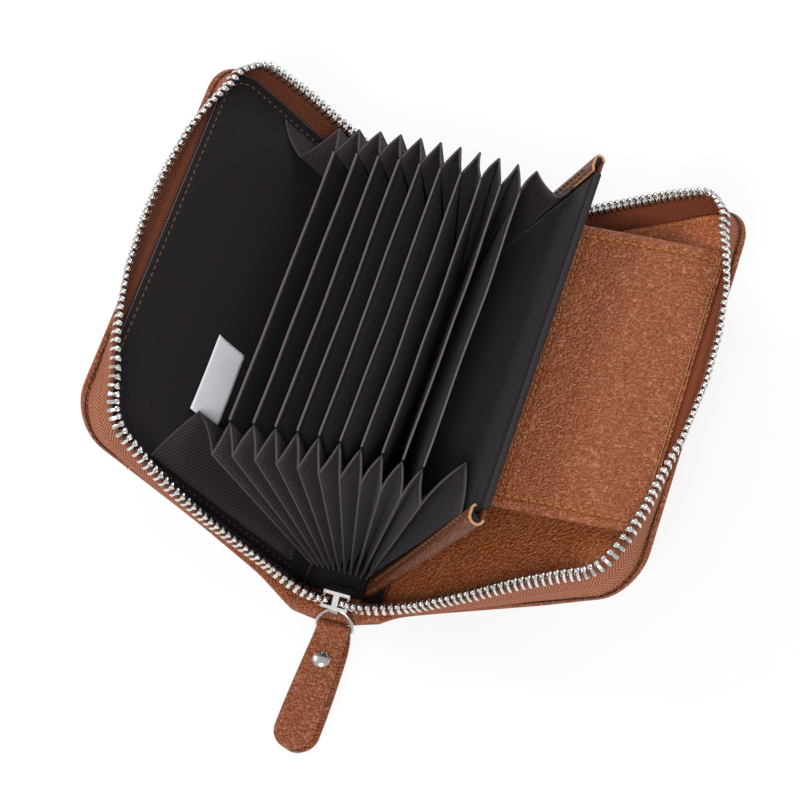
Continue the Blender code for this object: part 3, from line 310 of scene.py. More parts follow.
# Slip pocket
PANEL_LENGTH = 79.0 * MM
PANEL_WIDTH = 36.3 * MM
PANEL_THICKNESS = 0.9 * MM
PANEL_EDGE = 0.6 * MM
PANEL_EDGE_SHARES = (0.0, 0.12, 0.35, 0.65)
PANEL_SEAM = 75.8 * MM
PANEL_SEAM_HEIGHT = 2.04 * MM
PANEL_LIFT = math.radians(31.8)
PANEL_END_SEAM = 3.0 * MM
PANEL_SIDE_SEAM = 2.9 * MM
PANEL_GROOVE = 0.28 * MM
PANEL_GROOVE_SPREAD = 0.5 * MM
PANEL_ROLL = 0.42 * MM
PANEL_ROLL_SHARE = 0.45
PANEL_ROLL_SPREAD = 0.9 * MM
PANEL_CROWN = 0.6 * MM
PANEL_CROWN_RUN = 0.85
PANEL_UNDER_SHARE = 0.3
PANEL_LIP = 0.35 * MM
PANEL_LIP_SPREAD = 1.6 * MM
PANEL_THREAD = 0.62 * MM
PANEL_STITCH_OVER = 0.06 * MM
PANEL_STITCH_ENDS = (1.5 * MM, 1.2 * MM)
PANEL_RAW_EDGE = (-0.1 * MM, 0.38 * MM)
PANEL_RAW_ENDS = 0.8 * MM
PANEL_RAW_RADIUS = 0.14 * MM

# Pull
RING_POINT = Vector((0.9, -57.939, 5.899)) * MM
RING_HALF_WIDTH = 4.4 * MM
RING_CORNER = 0.8 * MM
RING_WIRE = 0.5 * MM
STRAP_POINT = Vector((0.9, -61.322, 1.95)) * MM
STRAP_LENGTH = 32.4 * MM
STRAP_WIDTH = 9.9 * MM
STRAP_LOOP_WIDTH = 8.2 * MM
STRAP_NECK = 1.4 * MM
STRAP_SHOULDER = 23.0 * MM
STRAP_WIDEN_POWER = 1.4
STRAP_TIP_SHARE = 0.06
STRAP_CLOSE = 4.0 * MM
STRAP_YAW_SHARE = 0.03
STRAP_BACK_SHIFT = 1.15 * MM
STRAP_BACK_SPREAD = 2.5 * MM
STRAP = 0.85 * MM
STRAP_LAYER_GAP = 0.5 * MM
STRAP_LOOP_RADIUS = 1.325 * MM
STRAP_LOOP_LEAVE = math.radians(62.0)
STRAP_LOOP_SHARES = (0.3, 0.55, 0.8)
STRAP_TIP_OVERLAP = 1.2 * MM
STRAP_FALL = math.radians(1.326)
STRAP_SECTION = ((-1, 0.2), (-0.985, 0.62), (-0.93, 0.92), (-0.8, 1.0), (-0.4, 1.03), (0, 1.04))
RIVET_FROM_RING = 8.6 * MM
RIVET_RADIUS = 2.3
RIVET_DOME = 0.95 * MM
RIVET_OUTSIDE = STRAP + STRAP_LAYER_GAP / 2 - 0.02 * MM
RIVET_DISH = 0.16 * MM
RIVET_DISH_SPREAD = 3.1 * MM
RIVET_TIP = 0.05
RIVET_DOME_SHARES = (0.2, 0.4, 0.6, 0.78, 0.9, 0.97, 1.0)
RIVET_NECK = ((2.22, 0.12 * MM), (1.0, 0.14 * MM))
RIVET_FOOT = ((1.0, 0.0), (2.1, 0.0), (1.8, 0.35 * MM), (0.05, 0.4 * MM))

# Stitches: places in steps of the seam, rises and radii in radii of the thread
STITCH_START_SHARE = 0.12
STITCH_SPAN_SHARE = 0.76
STITCH_RISES = (-1.08, 0.12, 0.744, 0.84, 0.744, 0.12, -1.08)
STITCH_RADII = (0.75, 1.0, 1.0, 1.0, 1.0, 1.0, 0.75)
HOLE_PLACES = (-0.13, -0.06, 0.0, 0.06, 0.13)
HOLE_RADII = (0.3, 0.85, 1.0, 0.85, 0.3)
HOLE_RISE = -0.62

# Soft waves of cloth and leather, as height, length and seed
WAVES = {
    "left_lining": (0.22 * MM, 16.0 * MM, -1),
    "right_lining": (0.22 * MM, 16.0 * MM, 1),
    "lining_ripple": (0.11 * MM, 6.0 * MM, 3),
    "binding": (0.12 * MM, 5.0 * MM, 41),
    "spine_cloth": (0.15 * MM, 9.0 * MM, 4),
    "left_tape": (0.14 * MM, 7.0 * MM, 4),
    "right_tape": (0.14 * MM, 7.0 * MM, 6),
    "divider": (0.5 * MM, 24.0 * MM, 0),
    "end_hide": (0.25 * MM, 20.0 * MM, 8),
    "end_cloth": (0.3 * MM, 22.0 * MM, 12),
    "panel": (0.12 * MM, 9.0 * MM, 21),
    "strap": (0.06 * MM, 6.0 * MM, 31),
}

# How many points the pieces have along their lines
POINTS = {
    "fold": 11, "hide_start": 9, "spine_hide": 15, "lining": 56, "lining_edge": 27,
    "lining_row": 121, "label": (12, 24), "spine_cloth": (12, 60), "tape_foot": 4,
    "tape_wall": 11, "stub": 18, "stub_wall": 10, "divider": (41, 24), "pleat": 6,
    "pleat_up": 14, "hem_roll": 11, "end_face": 44, "end_height": 27, "end_cloth": (52, 26),
    "end_stitches": 30, "panel": (48, 150), "panel_end_seam": 30, "panel_side_seam": 50,
    "panel_raw": 40, "ring_arch": 41, "ring_corner": 9, "strap_tip": 19, "strap": 26,
    "strap_loop": 17, "stub_length": 21,
}

# Sides of the round sections
SIDES = {
    "cord": 6, "thread": 6, "tack": 8, "tape_cord": 8, "tooth_head": 12, "divider_hem": 10,
    "raw_edge": 6, "raw_top": 8, "end_edge": 12, "ring": 14, "rivet": 32,
}

# Shades of the finishes, as factors on their colours, and least roughness of the metal; some of
# these shades are painted light and shade on copies of one material, as noted below
SEAM_SHADE = {"left": 0.48, "right": 0.7}
# The dark thread in the stitch holes is painted shade in the holes
STITCH_HOLE_PAINTED_SHADE = 0.08
SHADE = {
    # Painted light and shade here: the dark leather of the rim's cord is painted shadow, the right
    # lining is lightened and the end divider's hide is darkened
    "hide": 1.0, "rim_gap": 0.12, "right_lining": 1.45, "end_hide": 0.48, "strap": 0.92,
    "tack": 1.15, "panel_raw": 0.8, "left_lining": 0.82, "binding": 0.8, "spine_cloth": 0.75,
    # The dividers' lining is darkened as painted shade and the pleats' lining is lightened as
    # painted light
    "divider": 0.32, "pleat": 2.2, "end_cloth": 0.75, "hem_fill": 0.9, "binding_line": 1.0,
    # The pleats' edge finish also colours pale cords on their fold ridges as painted highlights
    "divider_hem": 1.3, "pleat_edge": 0.62, "end_edge": 0.24, "end_stitches": 0.32,
    "panel_stitches": 0.82,
}
METAL_ROUGH = {"teeth": 0.16, "slider": 0.14, "ring": 0.12, "rivet": 0.14}

# Camera and stage
CAMERA_TARGET = Vector((33.51, -94.91, 192.54)) * MM
CAMERA_AZIMUTH = math.radians(20.27)
CAMERA_ELEVATION = math.radians(61.14)
CAMERA_ROLL = math.radians(-3.10)
CAMERA_DISTANCE = 512.53 * MM
CAMERA_CLIP = (0.01, 20.0)
LENS_MM = 130.39
SENSOR_MM = 36.0
FLOOR_HALF_SIZE = 3.0
FLOOR_GLOW_SHARE = 0.8
SKY_STRENGTH = 0.5
LAMP_SIZE = 0.4
LAMP_AIM = Vector((0, 0, 0.03))
LAMPS = {
    "key": ((0.1, -0.75, 0.95), 9.0),
    "side": ((-0.8, 0.1, 0.75), 4.0),
    "back": ((0.35, 0.8, 0.7), 3.0),
}


def length_property(name, description, default):
    return FloatProperty(name=name, description=description, default=default, unit="LENGTH")


def colour_property(name, description, default):
    return FloatVectorProperty(
        name=name, description=description, default=default, subtype="COLOR", min=0, max=1
    )


class HolderSizes(bpy.types.PropertyGroup):
    """Sizes of the surface detail."""

    pebble: length_property("Pebble", "Width of one pebble of the leather grain", 1.15 * MM)
    stitch: length_property("Stitch", "Length of one stitch with its gap", 2.0 * MM)
    thread: length_property("Thread", "Thickness of the sewing thread", 0.5 * MM)
    tooth_pitch: length_property(
        "Tooth pitch", "Distance from one zip tooth to the next", 2.03 * MM
    )
    twill: length_property("Twill", "Distance between the ribs of the lining", 0.62 * MM)
    weave: length_property("Weave", "Distance between the ribs of the zip tape", 0.88 * MM)


class HolderColours(bpy.types.PropertyGroup):
    """Colours of the finishes."""

    leather: colour_property("Leather", "Top of the grain", (0.31, 0.079, 0.0185))
    # This colour is a painted glint: pale light caught in the creases of the grain
    crease: colour_property("Crease", "Pale lines between the pebbles", (0.54, 0.25, 0.14))
    raw: colour_property("Raw edge", "Cut edge of the leather", (0.62, 0.33, 0.15))
    lining: colour_property("Lining", "Lining fabric", (0.0068, 0.0052, 0.0062))
    rib: colour_property("Lining rib", "Top of the lining's ribs", (0.0225, 0.0175, 0.0205))
    edge: colour_property("Lining edge", "Folded and bound edges", (0.16, 0.125, 0.14))
    tape: colour_property("Zip tape", "Woven tape", (0.36, 0.145, 0.085))
    nickel: colour_property("Nickel", "Teeth, slider, ring and rivet", (0.74, 0.725, 0.7))
    thread: colour_property("Thread", "Sewing thread", (0.56, 0.205, 0.038))
    label: colour_property("Label", "Bare label", (0.86, 0.87, 0.93))
    board: colour_property("Board", "Stiffening board", (0.3, 0.26, 0.2))


def sizes():
    return bpy.context.scene.holder_sizes


def colours():
    return bpy.context.scene.holder_colours


def toned(colour, *by):
    """A colour times one number, or times one for each channel."""
    return [c * f for c, f in zip(colour, by if len(by) == 3 else by * 3)]


class Wire:
    """The output socket of a node, which takes part in arithmetic."""

    def __init__(self, paint, socket):
        self.paint = paint
        self.socket = socket

    def maths(self, operation, *values):
        return self.paint.node("ShaderNodeMath", {"operation": operation}, dict(enumerate(values)))

    def __add__(self, other):
        return self.maths("ADD", self, other)

    def __sub__(self, other):
        return self.maths("SUBTRACT", self, other)

    def __rsub__(self, other):
        return self.maths("SUBTRACT", other, self)

    def __mul__(self, other):
        return self.maths("MULTIPLY", self, other)

    def __truediv__(self, other):
        return self.maths("DIVIDE", self, other)

    def __rtruediv__(self, other):
        return self.maths("DIVIDE", other, self)

    def __abs__(self):
        return self.maths("ABSOLUTE", self)

    __radd__ = __add__
    __rmul__ = __mul__

    def wave(self):
        """Its sine, raised to run from 0 to 1."""
        return self.sine() * 0.5 + 0.5

    def sine(self):
        return self.maths("SINE", self)

    def fraction(self):
        return self.maths("FRACT", self)

    def step(self, low, high):
        """0 below low, 1 above high and smooth between them."""
        return self.paint.node(
            "ShaderNodeMapRange",
            {"interpolation_type": "SMOOTHSTEP"},
            {"Value": self, "From Min": low, "From Max": high},
        )


class Paint:
    """One material under construction."""

    def __init__(self, name):
        self.material = bpy.data.materials.new(name)
        self.material.use_nodes = True
        self.tree = self.material.node_tree
        self.shader = self.tree.nodes["Principled BSDF"]

    def node(self, kind, settings=None, sockets=None, output=0):
        made = self.tree.nodes.new(kind)
        for key, value in (settings or {}).items():
            setattr(made, key, value)
        for key, value in (sockets or {}).items():
            self.feed(made.inputs[key], value)
        return Wire(self, made.outputs[output])

    def feed(self, socket, value):
        if isinstance(value, Wire):
            self.tree.links.new(value.socket, socket)
        elif socket.type == "RGBA" and len(value) == 3:
            socket.default_value = (*value, 1.0)
        else:
            socket.default_value = value

    def place_mm(self):
        """Place on the piece in millimetres."""
        return self.scaled(self.node("ShaderNodeTexCoord", output="Object"), 1 / MM)

    def cloth_mm(self):
        """Place on the flat cloth in millimetres, along and across."""
        return self.scaled(self.node("ShaderNodeUVMap", {"uv_map": UV_MAP}), 1 / MM)

    def scaled(self, vector, by):
        return self.node(
            "ShaderNodeVectorMath", {"operation": "SCALE"}, {0: vector, "Scale": by}
        )

    def along_across(self, vector):
        split = self.node("ShaderNodeSeparateXYZ", sockets={0: vector}).socket.node
        return Wire(self, split.outputs[0]), Wire(self, split.outputs[1])

    def noise(self, vector, scale, detail=2.0, rough=0.5, output=0):
        return self.node(
            "ShaderNodeTexNoise",
            sockets={"Vector": vector, "Scale": scale, "Detail": detail, "Roughness": rough},
            output=output,
        )

    def cells(self, vector, scale):
        """Distance to the nearest border of a pattern of cells."""
        return self.node(
            "ShaderNodeTexVoronoi",
            {"feature": "DISTANCE_TO_EDGE"},
            {"Vector": vector, "Scale": scale},
        )

    def warped(self, vector, scale, reach):
        """A vector pushed about by noise, so that a pattern is not regular."""
        drift = self.scaled(self.noise(vector, scale, output=1), reach)
        return self.node("ShaderNodeVectorMath", {"operation": "ADD"}, {0: vector, 1: drift})

    def mix(self, share, first, second):
        made = self.node("ShaderNodeMix", {"data_type": "RGBA"}, output=2)
        inputs = made.socket.node.inputs
        for socket, value in ((inputs[0], share), (inputs[6], first), (inputs[7], second)):
            self.feed(socket, value)
        return made

    def bump(self, height, distance):
        return self.node("ShaderNodeBump", sockets={"Height": height, "Distance": distance})

    def finish(self, **values):
        """Feeds the shader's sockets, written with underscores, and gives the material."""
        for key, value in values.items():
            self.feed(self.shader.inputs[key.replace("_", " ")], value)
        return self.material


def leather_finish(name, shade):
    """Pebbled grain: glossy domes darkened towards the creases as painted shade, pale strokes in the
    creases as painted glints, wrinkles and mottling.
    """
    paint = Paint(name)
    top = toned(colours().leather, shade)
    where = paint.place_mm()
    pebble = sizes().pebble / MM
    drift = paint.warped(where, 0.22, 1.6)
    uneven = paint.warped(drift, 0.9 / pebble, 0.3 * pebble)
    border = paint.cells(uneven, 1.0 / pebble)
    dome = border.step(0.0, 0.3)
    crease = 1.0 - border.step(0.02, 0.09)
    small = paint.cells(uneven, 2.4 / pebble).step(0.0, 0.3)
    wrinkle = paint.noise(where, 2.6, 4.0, 0.6)
    glint_strokes = paint.noise(where, 1.0, 1.0).step(0.4, 0.58)
    mottle = paint.noise(where, 0.13, 3.0).step(0.32, 0.72)
    patch = paint.noise(where, 0.45, 2.0).step(0.4, 0.7)
    # Darker towards the creases between the pebbles: painted shade, varied at random by the wrinkles
    colour = paint.mix(dome * 0.8 + wrinkle * 0.3, toned(top, 0.62, 0.5, 0.42), top)
    colour = paint.mix(mottle * 0.35, colour, toned(top, 0.8, 0.7, 0.62))
    colour = paint.mix(patch * 0.25, colour, toned(top, 1.15, 1.2, 1.3))
    # Pale strokes along the creases: painted glints
    colour = paint.mix(crease * glint_strokes * 0.5, colour, toned(colours().crease, shade))
    rough = 0.33 + wrinkle * 0.16 - glint_strokes * crease * 0.08
    normal = paint.bump(dome * 0.9 + small * 0.1 + wrinkle * 0.14, 0.32 * MM)
    return paint.finish(Base_Color=colour, Roughness=rough, Normal=normal, Specular_IOR_Level=0.5)


def lining_finish(name, angle, shade, pitch=None):
    """Twill lining: fine slanting ribs of a dark satin yarn, with soft warm patches that are painted
    reflection of the leather.
    """
    paint = Paint(name)
    pitch = (pitch or sizes().twill) / MM
    flat = paint.cloth_mm()
    along, across = paint.along_across(paint.warped(flat, 0.25, 0.3))
    cos, sin = math.cos(math.radians(angle)), math.sin(math.radians(angle))
    rib = ((along * (cos / pitch) + across * (sin / pitch)) * (2 * math.pi)).wave()
    yarn = (along * (sin * 4 / pitch) - across * (cos * 4 / pitch)).sine()
    fuzz = paint.noise(flat, 3.0, 3.0)
    soft = paint.noise(flat, 0.09, 2.0)
    dark = toned(colours().lining, shade)
    light = toned(colours().rib, shade)
    colour = paint.mix(rib * (0.7 + yarn * 0.2) + fuzz * 0.2, dark, light)
    # Soft warm patches: painted reflection of the brown leather
    colour = paint.mix(soft.step(0.45, 0.8) * 0.4, colour, toned(light, 0.95, 0.6, 0.55))
    normal = paint.bump(rib + yarn * 0.15 + fuzz * 0.3, 0.09 * MM)
    return paint.finish(
        Base_Color=colour, Roughness=0.66 + fuzz * 0.2, Normal=normal, Specular_IOR_Level=0.2,
        Sheen_Weight=0.05, Sheen_Roughness=0.4,
    )


def bound_edge_finish(name, shade):
    """Folded fabric edge with slanting turns of a paler thread."""
    paint = Paint(name)
    flat = paint.cloth_mm()
    along, across = paint.along_across(flat)
    wrap = ((along * 1.9 + across * 0.6) * (2 * math.pi)).wave()
    fuzz = paint.noise(flat, 2.2, 3.0)
    light = toned(colours().edge, shade)
    colour = paint.mix(wrap.step(0.15, 0.7) * (0.65 + fuzz * 0.5), toned(light, 0.5), light)
    return paint.finish(
        Base_Color=colour, Roughness=0.75, Normal=paint.bump(wrap, 0.14 * MM),
        Specular_IOR_Level=0.25,
    )


def tape_finish(name, tint):
    """Zip tape: columns of slanting ribs that meet in a herringbone."""
    paint = Paint(name)
    pitch = sizes().weave / MM
    flat = paint.cloth_mm()
    along, across = paint.along_across(paint.warped(flat, 0.9, 0.28))
    column = 1.9
    band = abs((across / (2 * column)).fraction() - 0.5) * (2 * column)
    rib = ((along + band * 1.15) * (2 * math.pi / pitch)).wave()
    ridge = 1.0 - (band.step(0.0, 0.16) - band.step(column - 0.16, column))
    fuzz = paint.noise(flat, 2.5, 4.0)
    base = toned(colours().tape, *tint)
    low = toned(base, 0.48, 0.38, 0.32)
    colour = paint.mix(rib.step(0.15, 0.8) * (1.0 - ridge * 0.5), low, base)
    colour = paint.mix(fuzz.step(0.5, 0.85) * rib * 0.6, colour, toned(base, 1.3, 1.5, 1.65))
    normal = paint.bump(rib - ridge * 0.4 + fuzz * 0.3, 0.2 * MM)
    return paint.finish(
        Base_Color=colour, Roughness=0.88, Normal=normal, Specular_IOR_Level=0.25
    )


def nickel_finish(name, rough):
    """Nickel plate with faint tumbling marks."""
    paint = Paint(name)
    where = paint.place_mm()
    marks = paint.noise(where, 3.5, 4.0, 0.6)
    cloud = paint.noise(where, 0.5, 2.0)
    base = colours().nickel
    colour = paint.mix(cloud.step(0.4, 0.9) * 0.35, toned(base, 1.0), toned(base, 0.86))
    return paint.finish(
        Base_Color=colour, Metallic=1.0, Roughness=rough + marks * 0.1,
        Normal=paint.bump(marks, 0.006 * MM),
    )


def thread_finish(name, shade):
    """Twisted sewing thread."""
    paint = Paint(name)
    along, across = paint.along_across(paint.cloth_mm())
    twist = ((along * 2.1 + across * 1.3) * (2 * math.pi)).wave()
    base = toned(colours().thread, shade)
    colour = paint.mix(twist, toned(base, 0.6), base)
    return paint.finish(Base_Color=colour, Roughness=0.55, Normal=paint.bump(twist, 0.08 * MM))


def raw_edge_finish(name, shade=1.0):
    """Cut leather edge: pale fibres with darker flecks."""
    paint = Paint(name)
    fibre = paint.noise(paint.place_mm(), 3.2, 6.0, 0.7)
    base = toned(colours().raw, shade)
    colour = paint.mix(fibre.step(0.3, 0.65), toned(base, 0.42), base)
    return paint.finish(Base_Color=colour, Roughness=0.9, Normal=paint.bump(fibre, 0.15 * MM))


def label_finish(name):
    """White satin ribbon with a fine weave."""
    paint = Paint(name)
    along, across = paint.along_across(paint.cloth_mm())
    warp = (along * 16.0).sine() * (across * 22.0).sine() * 0.5 + 0.5
    cloud = paint.noise(paint.place_mm(), 0.3, 2.0)
    base = colours().label
    colour = paint.mix(warp * 0.2 + cloud * 0.3, toned(base, 1.0), toned(base, 0.82))
    return paint.finish(Base_Color=colour, Roughness=0.55, Normal=paint.bump(warp, 0.03 * MM))


def board_finish(name):
    """Pressed fibre board."""
    paint = Paint(name)
    fibre = paint.noise(paint.place_mm(), 2.0, 6.0, 0.7)
    colour = paint.mix(fibre, toned(colours().board, 0.7), toned(colours().board, 1.0))
    return paint.finish(Base_Color=colour, Roughness=0.95, Normal=paint.bump(fibre, 0.1 * MM))


FINISHES = {}


def finish_of(kind, *values):
    """The material of a kind, made once and shared by the pieces that have it."""
    key = (kind.__name__.replace("_finish", ""), *values)
    if key not in FINISHES:
        FINISHES[key] = kind("_".join(str(part) for part in key), *values)
    return FINISHES[key]


# Mesh helpers


def stretch(start, end, count):
    """Even steps from start to end, both included."""
    return [start + (end - start) * i / (count - 1) for i in range(count)]


def grid_lines(name, one, other):
    """Steps of a piece's mesh over two spans."""
    return [stretch(*span, count) for span, count in zip((one, other), POINTS[name])]


def between(table, place):
    """Value at a place in a table of (place, value)."""
    for (p0, v0), (p1, v1) in zip(table, table[1:]):
        if place <= p1:
            return v0 + (v1 - v0) * min(1.0, max(0.0, (place - p0) / (p1 - p0)))
    return table[-1][1]


def bell(distance, spread):
    """1 in the middle, falling softly to 0 past the spread."""
    return math.exp(-((distance / spread) ** 2))


def wave(kind, x, y, copy=0):
    """Height of a soft wave at a place; each copy of a piece has its own."""
    height, length, seed = WAVES[kind]
    return height * noise.noise(Vector((x / length, y / length, (seed + copy) * WAVE_SEED_STEP)))


def lengths_along(points):
    """How far each point of a line lies along it."""
    run = [0.0]
    for a, b in zip(points, points[1:]):
        run.append(run[-1] + (b - a).length)
    return run


def circle(centre, one, other, sides):
    """Points round a centre, with two vectors as its half axes."""
    turns = [2 * math.pi * j / sides for j in range(sides)]
    return [centre + one * math.cos(turn) + other * math.sin(turn) for turn in turns]


def mesh_piece(name, bm, *finishes):
    bmesh.ops.remove_doubles(bm, verts=bm.verts, dist=MERGE_DISTANCE)
    bmesh.ops.recalc_face_normals(bm, faces=bm.faces)
    mesh = bpy.data.meshes.new(name)
    bm.to_mesh(mesh)
    bm.free()
    mesh.shade_smooth()
    mesh.set_sharp_from_angle(angle=SMOOTH_ANGLE)
    obj = bpy.data.objects.new(name, mesh)
    bpy.context.scene.collection.objects.link(obj)
    for finish in finishes:
        mesh.materials.append(finish)
    return obj


def settle(obj, slot, body, stands_for_node=True):
    """Parents a piece to its body; most pieces also hide the model's node named by the slot, in
    whose place they stand.
    """
    if stands_for_node:
        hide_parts(slot)
    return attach(obj, body)


def cloth_rows(bm, rows, flat, finish_index=0, closed=False):
    """Quads over rows of points, with the flat cloth's place of each as its UV."""
    layer = bm.loops.layers.uv.get(UV_MAP) or bm.loops.layers.uv.new(UV_MAP)
    verts = [[bm.verts.new(p) for p in row] for row in rows]
    count = len(rows[0])
    for i in range(len(rows) - 1):
        for j in range(count if closed else count - 1):
            k = (j + 1) % count
            corners = ((i, j, j), (i, k, j + 1), (i + 1, k, j + 1), (i + 1, j, j))
            face = bm.faces.new([verts[a][b] for a, b, c in corners])
            face.material_index = finish_index
            for loop, (a, b, c) in zip(face.loops, corners):
                loop[layer].uv = flat(a, c)
    return verts


def ring_loft(bm, rings, caps=True, finish_index=0):
    """Closed rings joined into a tube; the UV runs along and around it."""
    run = lengths_along([sum(ring, Vector()) / len(ring) for ring in rings])
    around = lengths_along([rings[0][-1], *rings[0]])
    verts = cloth_rows(bm, rings, lambda i, j: (run[i], around[j]), finish_index, closed=True)
    if caps:
        for row in (verts[0], verts[-1]):
            bm.faces.new(row).material_index = finish_index


def tube_rings(path, radius, sides):
    """Round sections along a path of points; the radius is one value or one for each."""
    rings = []
    up = Vector((0.13, 0.2, 1.0)).normalized()
    for i, point in enumerate(path):
        ahead = (path[min(len(path) - 1, i + 1)] - path[max(0, i - 1)]).normalized()
        side = ahead.cross(up).normalized()
        size = radius[i] if isinstance(radius, list) else radius
        rings.append(circle(point, side * size, side.cross(ahead) * size, sides))
    return rings


def cloth_piece(name, rows, flat, *finishes):
    bm = bmesh.new()
    cloth_rows(bm, rows, flat)
    return mesh_piece(name, bm, *finishes)


def loft_piece(name, rings, finish, caps=True):
    bm = bmesh.new()
    ring_loft(bm, rings, caps)
    return mesh_piece(name, bm, finish)


def cord_piece(name, lines, radius, finish, sides=SIDES["cord"]):
    """Round cord along one or more lines."""
    bm = bmesh.new()
    for line in lines:
        ring_loft(bm, tube_rings(line, radius, sides))
    return mesh_piece(name, bm, finish)


def thicken(obj, thickness):
    step = obj.modifiers.new("thickness", "SOLIDIFY")
    step.thickness = thickness
    step.offset = 0.0
    step.use_even_offset = True
    return obj


def flat_area(obj):
    return sum(face.area for face in obj.data.polygons)


def as_sheet(obj, length):
    """Works out a piece of cloth's flat size from its area, before it is thickened, and gives the
    piece back.
    """
    flat = (flat_area(obj) / length, length)
    return obj


def stitch_run(bm, path, ups, thread):
    """Raised stitches along a path; at both ends each dives into a dark blob of thread that is
    painted shade in its hole.
    """
    pitch, radius = sizes().stitch, thread / 2
    lengths = lengths_along(path)

    def at(distance, rise):
        """Point beside the path, with its rise in radii of the thread."""
        i = 0
        while i < len(lengths) - 2 and lengths[i + 1] < distance:
            i += 1
        share = (distance - lengths[i]) / max(lengths[i + 1] - lengths[i], 1e-9)
        up = ups[i].lerp(ups[i + 1], share)
        return path[i].lerp(path[i + 1], share) + up * (rise * radius)

    count = int(lengths[-1] / pitch)
    spare = (lengths[-1] - count * pitch) / 2
    last = len(STITCH_RISES) - 1
    for n in range(count):
        start = spare + pitch * n
        line = [
            at(start + pitch * (STITCH_START_SHARE + STITCH_SPAN_SHARE * k / last), rise)
            for k, rise in enumerate(STITCH_RISES)
        ]
        radii = [radius * s for s in STITCH_RADII]
        ring_loft(bm, tube_rings(line, radii, SIDES["thread"]))
        # Dark blob at each end of the stitch: painted shade in its hole
        line = [at(start + pitch * place, HOLE_RISE) for place in HOLE_PLACES]
        radii = [radius * s for s in HOLE_RADII]
        ring_loft(bm, tube_rings(line, radii, SIDES["thread"]), finish_index=1)


def stitch_piece(name, runs, slot, body, shade, thread=None):
    bm = bmesh.new()
    for path, ups in runs:
        stitch_run(bm, path, ups, thread or sizes().thread)
    finishes = [finish_of(thread_finish, one) for one in (shade, STITCH_HOLE_PAINTED_SHADE)]
    return settle(mesh_piece(name, bm, *finishes), slot, body, False)


# The covers' frame


class Cover:
    """Places on one cover: u out from the fold, y along the spine, h into the holder."""

    def __init__(self, name):
        self.name = name
        self.sign = -1 if name == "left" else 1
        self.rise = RISE[name]
        self.body = name + "_cover"
        self.fold_end = SPINE_SPAN / 2 + self.rise * FOLD_RADIUS

    def way(self, u, y, h):
        cos, sin = math.cos(self.rise), math.sin(self.rise)
        return Vector((self.sign * (u * cos - h * sin), y, u * sin + h * cos))

    def at(self, u, y, h):
        return self.way(u, y, h) + Vector((self.sign * SPINE_SPAN / 2, 0, FOLD_RADIUS))


COVERS = {name: Cover(name) for name in RISE}


class Rim:
    """The line at one inset round the free edges of a cover, near end first."""

    def __init__(self, inset, start):
        self.radius = max(CORNER_RADIUS - inset, RIM_LEAST_RADIUS)
        self.across = COVER_WIDTH - inset - self.radius
        self.half_long = COVER_LENGTH / 2 - inset - self.radius
        self.edge = COVER_LENGTH / 2 - inset
        self.start = start
        straight, arc = self.across - start, math.pi / 2 * self.radius
        self.parts = (straight, arc, 2 * self.half_long, arc, straight)
        self.total = sum(self.parts)

    def at(self, distance):
        """Point (u, y) and outward direction (u, y)."""
        part = 0
        while part < 4 and distance > self.parts[part]:
            distance -= self.parts[part]
            part += 1
        if part == 0:
            return (self.start + distance, -self.edge), (0.0, -1.0)
        if part == 2:
            return (self.across + self.radius, distance - self.half_long), (1.0, 0.0)
        if part == 4:
            return (self.across - distance, self.edge), (0.0, 1.0)
        turned = distance / self.radius + (0 if part == 1 else math.pi / 2)
        out = (math.sin(turned), -math.cos(turned))
        centre = -self.half_long if part == 1 else self.half_long
        return (self.across + self.radius * out[0], centre + self.radius * out[1]), out

    def marks(self, step):
        """Distances along the line: even on the straights and finer round the corners."""
        found = [0.0]
        for part, length in enumerate(self.parts):
            size = min(step, length / 8) if part in (1, 3) else step
            count = max(1, round(length / size))
            start = found[-1]
            found += [start + length * (i + 1) / count for i in range(count)]
        return found

    def outline(self):
        """Points round the rim, as many at every inset."""
        points, start = [], 0.0
        for length, steps in zip(self.parts, RIM_STEPS):
            points += [self.at(start + length * i / steps)[0] for i in range(steps)]
            start += length
        return points + [self.at(start)[0]]


def tape_lean(cover, share):
    """How far the wall of the tape leans outward, with each cover's own hang."""
    turns = between(TAPE_LEAN_SHARES, share) + between(LEAN_TRIM_SHARES[cover.name], share)
    return math.pi / 2 * turns


def tooth_lean(outward):
    """Lean of the teeth: most at the near side, hardly any at the far side."""
    return TOOTH_LEAN - TOOTH_LEAN_SWING * outward


def leaned(root, up, through, lean):
    """Root, way up and way through of a tooth that leans inward about its head."""
    sin, cos = math.sin(lean), math.cos(lean)
    tipped = up * cos - through * sin
    return root + (up - tipped) * HEAD_HEIGHT * MM, tipped, through * cos + up * sin


class ZipRow:
    """The tape and its teeth along one cover, as root, way up and way through."""

    def __init__(self, cover):
        self.cover = cover
        self.rim = Rim(TAPE_INSET, TAPE_RUN_START)
        self.total = self.rim.total

    def at(self, distance):
        (u, y), (du, dy) = self.rim.at(distance)
        lean = tape_lean(self.cover, distance / self.total)
        sin, cos = math.sin(lean), math.cos(lean)
        root = self.cover.at(u, y, TAPE_ROOT_HEIGHT)
        up = self.cover.way(du * sin, dy * sin, cos)
        return root, up, self.cover.way(du * cos, dy * cos, -sin)

    def leaned_at(self, distance):
        """The same for the teeth, which lean from the tape."""
        return leaned(*self.at(distance), tooth_lean(self.rim.at(distance)[1][1]))


def curve_between(start, start_pull, end, end_pull, share):
    a, b = 1 - share, share
    return (
        start * (a**3)
        + (start + start_pull) * (3 * a * a * b)
        + (end - end_pull) * (3 * a * b * b)
        + end * (b**3)
    )


